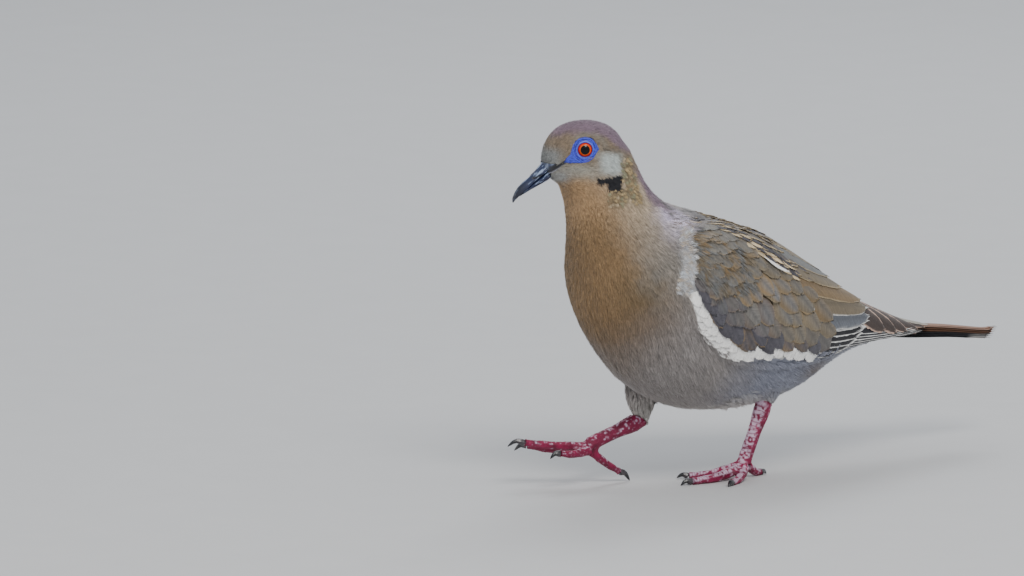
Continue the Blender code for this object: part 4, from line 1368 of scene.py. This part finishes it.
def build_bill_root():
    """The bare horn from the bill back to the corners of the mouth."""
    co, faces = remeshed(["head"], 0.4, 0.0, 3)
    normal = normals_of(co, faces)
    inside = bill_skin(co) | bill_skin(co + 0.5 * UP) | bill_skin(co - 0.5 * UP)
    used, faces = np.unique(faces[inside[faces].all(1)], return_inverse=True)
    co, normal = co[used], normal[used]
    fore, _, up = head_place(co)
    over = gape_line(fore, up) + 0.15 * noise(co, 1.0, 51)
    grain = noise(co * (1.0, 1.0, 0.5), 1.0, 52)
    colour = mix(lin(52, 64, 92), lin(150, 164, 188), np.clip(0.2 + 0.8 * grain, 0, 1))
    colour = mix(colour, lin(22, 22, 30), (1 - step(14.0, 17.5, fore)) * (1 - step(1.8, 2.8, over)))
    colour = mix(colour, lin(178, 178, 188), (1 - step(-1.2, -0.5, over)) * 0.85)
    # Black along the closed mouth's line, which is also pressed in: painted shade in its crease.
    lips = blob((over, 0.35 + 0.3 * (fore < 13.5)), power=4)
    colour = mix(colour, BLACK, lips)
    co = co + normal * (0.12 + 0.06 * grain - 0.25 * lips)[:, None]
    make("bill_root", co, [faces.reshape(-1, 3)], [HORN], colour)


def spokes(turn, fore, up):
    """Directions across an eye, at angles from forward."""
    return np.cos(turn)[..., None] * fore + np.sin(turn)[..., None] * up


def build_eye(name, side):
    """An eyeball with a slightly raised cornea: pupil, orange iris that reddens outward, dark rim."""
    gaze, fore, up = eye_axes(side)
    tilt = np.radians(np.concatenate([np.linspace(0, 60, 49), np.linspace(64, 180, 20)]))
    turn = np.linspace(0, 2 * math.pi, 73)[:-1]
    a, b = np.meshgrid(tilt, turn, indexing="ij")
    swell = 1 + 0.05 * blob((a, 0.55))
    ring = EYE_R * np.sin(a)
    direction = np.cos(a)[..., None] * gaze + np.sin(a)[..., None] * spokes(b, fore, up)
    co = EYES[side] + direction * (EYE_R * swell)[..., None]
    grain = noise(np.stack([np.cos(b) * 7, np.sin(b) * 7, ring * 0.5], -1), 1.0, 40)
    black, orange, red, deep = lin(4, 4, 5), lin(244, 112, 12), lin(226, 56, 6), lin(180, 28, 8)
    iris = mix(red, deep, np.clip(step(2.45, 3.0, ring) + 0.3 * grain, 0, 1))
    iris = mix(orange, iris, step(2.04, 2.4, ring))
    colour = mix(black, iris, step(1.95, 2.06, ring))
    colour = mix(colour, black, step(2.94, 3.04, ring))
    faces = quads(len(tilt), len(turn), ring=(0, 1), flip=side < 0)
    make(f"eyeball_{name}", co.reshape(-1, 3), [faces], [EYE], colour.reshape(-1, 3), [f"eye_{name}"])


ORBIT_RINGS = (6.4, 7.6, 8.8, 10.0, 11.4)       # where the head's surface is read round an eye


def head_round_eye(side, turn, radius):
    """How far the head's surface stands out along the gaze, at angles and distances from the eye's middle."""
    gaze, fore, up = eye_axes(side)
    start = 15.0                    # outside the head
    levels = []
    for distance in ORBIT_RINGS:
        heights = np.zeros(len(turn))
        for i, spoke in enumerate(spokes(turn, fore, up)):
            outside = EYES[side] + spoke * distance + gaze * start
            hit = OUTER_TREE.ray_cast(Vector(outside), Vector(-gaze), 2 * start)
            heights[i] = start - hit[3] if hit[0] is not None else 0.0
        for _ in range(6):
            heights = (np.roll(heights, 1) + heights * 2 + np.roll(heights, -1)) / 4
        levels.append(heights[:, None])
    near, second = ORBIT_RINGS[:2]
    height = levels[0] + (levels[0] - levels[1]) / (second - near) * (near - np.minimum(radius, near))
    for k in range(1, len(ORBIT_RINGS)):
        before, after = ORBIT_RINGS[k - 1:k + 1]
        height = height + (levels[k] - levels[k - 1]) * np.clip((radius - before) / (after - before), 0, 1)
    return height


def build_orbit(name, side):
    """Bare blue skin round the eye, with a lid rim, wrinkles and a strip toward the gape."""
    gaze, fore, up = eye_axes(side)
    turn = np.linspace(0, 2 * math.pi, 145)[:-1]
    inner = 3.0
    b, s = np.meshgrid(turn, np.linspace(0, 1, 26), indexing="ij")
    radius = inner + (bare_edge(turn)[:, None] + 0.5 - inner) * s ** 1.15
    ball = np.sqrt(np.maximum((EYE_R + 0.14) ** 2 - np.minimum(radius, EYE_R) ** 2, 0))
    blend = step(3.3, 4.9, radius)
    height = ball * (1 - blend) + head_round_eye(side, turn, radius) * blend
    folds = 0.16 * np.sin((radius - 3.9 + 0.25 * np.sin(b * 5)) * 7.5)
    folds = folds * step(3.8, 4.2, radius) * (1 - step(5.2, 6.0, radius))
    lid = 0.28 * blob((radius - 3.4, 0.3))
    height = height + lid + folds + 0.3 * step(0.0, 0.25, s) * (1 - step(0.86, 1.0, s))
    height = height - 0.5 * step(0.94, 1.0, s)      # the outer rim is tucked into the skin
    co = EYES[side] + spokes(b, fore, up) * radius[..., None] + height[..., None] * gaze
    co[:, 0] -= gaze * 0.3          # the inner rim is tucked in behind the eyeball's surface
    wrinkle = noise(co * (1.0, 1.0, 2.0), 0.7, 41)
    cobalt, deep, pale, black = lin(58, 74, 216), lin(28, 36, 130), lin(146, 156, 236), lin(12, 12, 18)
    # Painted shade and light: the blue is darker in the hollows between the folds and lighter on their
    # crests.
    colour = mix(cobalt, deep, np.clip(0.3 + 0.9 * wrinkle - folds * 4, 0, 1))
    colour = mix(colour, deep * 0.5, 0.7 * step(8.2, 10.5, radius))
    colour = mix(colour, pale, 0.6 * blob((radius - 3.6, 0.2)))
    colour = mix(colour, black, 1 - step(3.05, 3.35, radius))
    faces = quads(*radius.shape, ring=(1, 0), flip=side > 0)
    make(f"orbit_{name}", co.reshape(-1, 3), [faces], [SKIN], colour.reshape(-1, 3),
         [f"lids_{name}"])


# ---------------------------------------------------------------- putting the coat on

BILL_BASE = spot("bill_upper", 0.9, 0.5, 0.8)


def kept_clear(p):
    """True on the bare skin of the head."""
    return bare(p) | bill_skin(p)


def head_coat():
    """Very short feathers, longer away from the bill."""
    def zone(p):
        return (along(p)[0] < 30) & ~kept_clear(p)

    def gap(p):
        return (0.48 + 0.012 * np.linalg.norm(p - BILL_BASE, axis=1)) * THIN

    p, n = plant(zone, gap, 60000, 1)
    far = np.linalg.norm(p - BILL_BASE, axis=1)
    tufts("head_feathers", p, n, 1.2 + 0.075 * far, 0.45 + 0.012 * far, 9, 0.08, 0.2, 101,
          avoid=kept_clear, contrast=0.12)


def neck_coat(name, side, seed):
    """Neck and breast, as far back as the wings' front."""
    def zone(p):
        where = along(p)[0]
        return (where >= 28) & (where < 76) & ~under_wing(p) & (p[:, 2] > 60)

    p, n = plant(zone, 1.08 * THIN, 50000, seed, side)
    size = step(28, 70, along(p)[0])
    near_wing = step(WING_FROM - 4, WING_FROM + 4, p[:, 0])
    tufts(f"neck_feathers_{name}", p, n, 3.2 + 3.4 * size, 0.95 + 0.35 * size, 18,
          0.12 + 0.45 * near_wing, 0.22, 100 + seed, contrast=0.16, avoid=on_band)


def edge_coat(name, side, seed):
    """Loose pale feathers along the front edge of the wing."""
    def zone(p):
        angle = wing_angle(p)
        return (np.abs(p[:, 0] - coat_front(angle) + 1.4) < 2.2) & (angle > 50) & (angle < 103)

    p, n = plant(zone, 1.1 * THIN, 12000, seed, side)
    colour = mix(EDGE_PALE, NECK_SIDE, np.random.default_rng(seed).uniform(0.1, 0.95, len(p)))
    way = flat_on(n, np.array([1.0, 0.0, -0.35]))
    tufts(f"edge_feathers_{name}", p, n, 4.56, 1.24, 14, 0.74, 0.24, 150 + seed,
          colour=colour, contrast=0.16, ruffle=0.25, way=way)


def bend_coat(name, side, seed):
    """Small soft feathers over the bend of the wing, where no single covert shows."""
    def zone(p):
        w = (p[:, 0] - WING_FROM) / (WING_TO - WING_FROM)
        angle = wing_angle(p)
        rear = np.interp(angle, (20, 34, 46, 60, 74, 86), (0.22, 0.22, 0.25, 0.24, 0.18, 0.10))
        return (w > 0.02) & (w < rear + 0.05 * noise(p, 5.0, 65)) & (angle < 88) & (angle > 16)

    p, n = plant(zone, 1.4 * THIN, 12000, seed, side)
    angle = wing_angle(p)
    ahead = flat_on(n, REARWARD)
    down = np.cross(n, ahead) * -side
    lean = np.radians(np.interp(angle, (20, 40, 60, 86), (16, 30, 46, 60)) + 10 * noise(p, 6.0, 61))
    way = ahead * np.cos(lean)[:, None] + down * np.sin(lean)[:, None]
    pick = noise(p, 3.4, 62) + 0.5 * noise(p, 1.6, 63)
    colour = mix(COVERT_GREY * 0.95, COVERT, step(-0.5, 0.4, pick))
    colour = mix(colour, COVERT_BROWN, step(0.3, 0.9, pick + 0.3 * noise(p, 8.0, 64)))
    colour = mix(colour, mix(BACK, COVERT_GREY, 0.4), 1 - step(26, 44, angle))
    colour = mix(colour, SLATE, step(84, 92, angle + 4 * pick))
    size = np.abs(pick)
    tufts(f"bend_feathers_{name}", p, n, 6.4 + 1.2 * size, 1.0, 14, 0.3 + 0.3 * size, 0.34,
          120 + seed, colour=colour, contrast=0.12, ruffle=0.14, way=way)


def body_coat(name, side, seed):
    """Belly, flanks, vent and the feathered part of the legs."""
    def zone(p):
        return (along(p)[0] >= 74) & ~under_wing(p)

    p, n = plant(zone, 1.3 * THIN, 60000, seed, side)
    where, _, angle, _ = along(p)
    leg = on_shank(p)
    length = np.where(leg, 4.4, 6.4 + 0.02 * (where - 74))
    tufts(f"body_feathers_{name}", p, n, length, np.where(leg, 0.7, 1.25), 18,
          0.2 + 0.25 * step(150, 175, angle), 0.25, 100 + seed, ruffle=0.09, contrast=0.17, avoid=on_band)


def loose_coat():
    """Loose tufts that hang from the belly beside the legs."""
    behind_right = spot("shank_right", 0.9, 0.5, 0.75)
    before_left = spot("shank_left", 0.0, 0.5, 0.9) - 15.0 * REARWARD
    places = np.array([behind_right, before_left])

    def zone(p):
        return (np.linalg.norm(p[:, None] - places, axis=2).min(1) < 9.0) & (along(p)[2] > 140)

    p, n = plant(zone, 1.7 * THIN, 3000, 9)
    way = unit(np.array([0.75, 0.0, -0.55]) + 0.25 * np.random.default_rng(9).normal(0, 1, p.shape))
    tufts("loose_feathers", p, n, 6.5, 0.9, 12, 1.3, 0.3, 140,
          colour=mix(markings(p) * 1.15, SHANK_PALE, 0.25), way=flat_on(n, way), ruffle=0.2)


def build_coat():
    """The short feathers of head, neck, body and legs. Each kind has one seed for each side."""
    head_coat()
    pairs = ((neck_coat, (2, 12)), (edge_coat, (21, 22)), (bend_coat, (7, 8)), (body_coat, (3, 4)))
    for build, seeds in pairs:
        for (name, side), seed in zip(SIDES.items(), seeds):
            build(name, side, seed)
    loose_coat()


# ---------------------------------------------------------------- stage

def build_floor():
    """A plain grey floor."""
    m, tree, shader = material("floor")
    places = node(tree, "ShaderNodeTexCoord")
    grain = node(tree, "ShaderNodeTexNoise", in_Scale=40.0, in_Detail=4.0)
    tree.links.new(places.outputs["Object"], grain.inputs["Vector"])
    shade = node(tree, "ShaderNodeMapRange", in_To_Min=0.57, in_To_Max=0.6)
    tree.links.new(grain.outputs["Fac"], shade.inputs["Value"])
    tree.links.new(shade.outputs[0], shader.inputs["Base Color"])
    shader.inputs["Roughness"].default_value = 0.8
    mesh = bpy.data.meshes.new("floor")
    half = 6.0
    corners = [(x * half, y * half, 0) for x, y in ((-1, -1), (1, -1), (1, 1), (-1, 1))]
    mesh.from_pydata(corners, [], [(0, 1, 2, 3)])
    mesh.materials.append(m)
    put("floor", mesh)


def build_lamp(name, place, aim, size, power, colour):
    """A square soft lamp, aimed at a place."""
    data = bpy.data.lights.new(name, "AREA")
    data.size = size
    data.energy = power
    data.color = colour
    lamp = put(name, data)
    lamp.location = place
    lamp.rotation_euler = (Vector(aim) - Vector(place)).to_track_quat("-Z", "Y").to_euler()


def build_camera():
    """A long lens, low and from the front left."""
    azimuth, elevation, distance = math.radians(-38), math.radians(9), 6.0
    level = np.array([math.sin(azimuth), -math.cos(azimuth), 0.0])
    back = level * math.cos(elevation) + UP * math.sin(elevation)
    right = np.array([math.cos(azimuth), math.sin(azimuth), 0.0])
    foot = np.array([-0.0326, 0.0, 0.0])
    aim = foot - right * 0.0818 + np.cross(back, right) * 0.0829
    camera = put("camera", bpy.data.cameras.new("camera"))
    camera.data.sensor_width = 36.0
    camera.data.lens = 485.0
    camera.data.clip_end = 40.0
    camera.location = aim + back * distance
    camera.rotation_euler = Vector(-back).to_track_quat("-Z", "Y").to_euler()
    bpy.context.scene.camera = camera


def build_stage():
    """Floor, sky, lamps and camera. They are no part of the object."""
    build_floor()
    world = bpy.data.worlds.new("studio")
    world.use_nodes = True
    sky = world.node_tree.nodes["Background"]
    sky.inputs["Color"].default_value = (0.78, 0.82, 0.88, 1)
    sky.inputs["Strength"].default_value = 0.75
    bpy.context.scene.world = world
    build_lamp("key", (-0.5, -1.4, 1.6), (0, 0, 0.08), 0.8, 26, (1.0, 0.97, 0.93))
    build_lamp("rim", (1.0, 0.9, 1.5), (0, 0, 0.1), 0.9, 14, (0.94, 0.97, 1.0))
    build_lamp("fill", (-1.45, 0.4, 0.2), (-0.05, 0, 0.06), 0.7, 5.5, (1.0, 0.95, 0.89))
    build_camera()


build_skin()
build_bill("bill_upper")
build_bill("bill_lower")
build_bill_root()
build_claws("left")
build_claws("right")
for NAME, SIDE in SIDES.items():
    build_eye(NAME, SIDE)
    build_orbit(NAME, SIDE)
    build_wing(NAME, SIDE, 50 + 10 * SIDE)
build_tail()
build_rump()
build_scallops("left", SIDES["left"], 95)
build_scallops("right", SIDES["right"], 96)
build_coat()
build_stage()
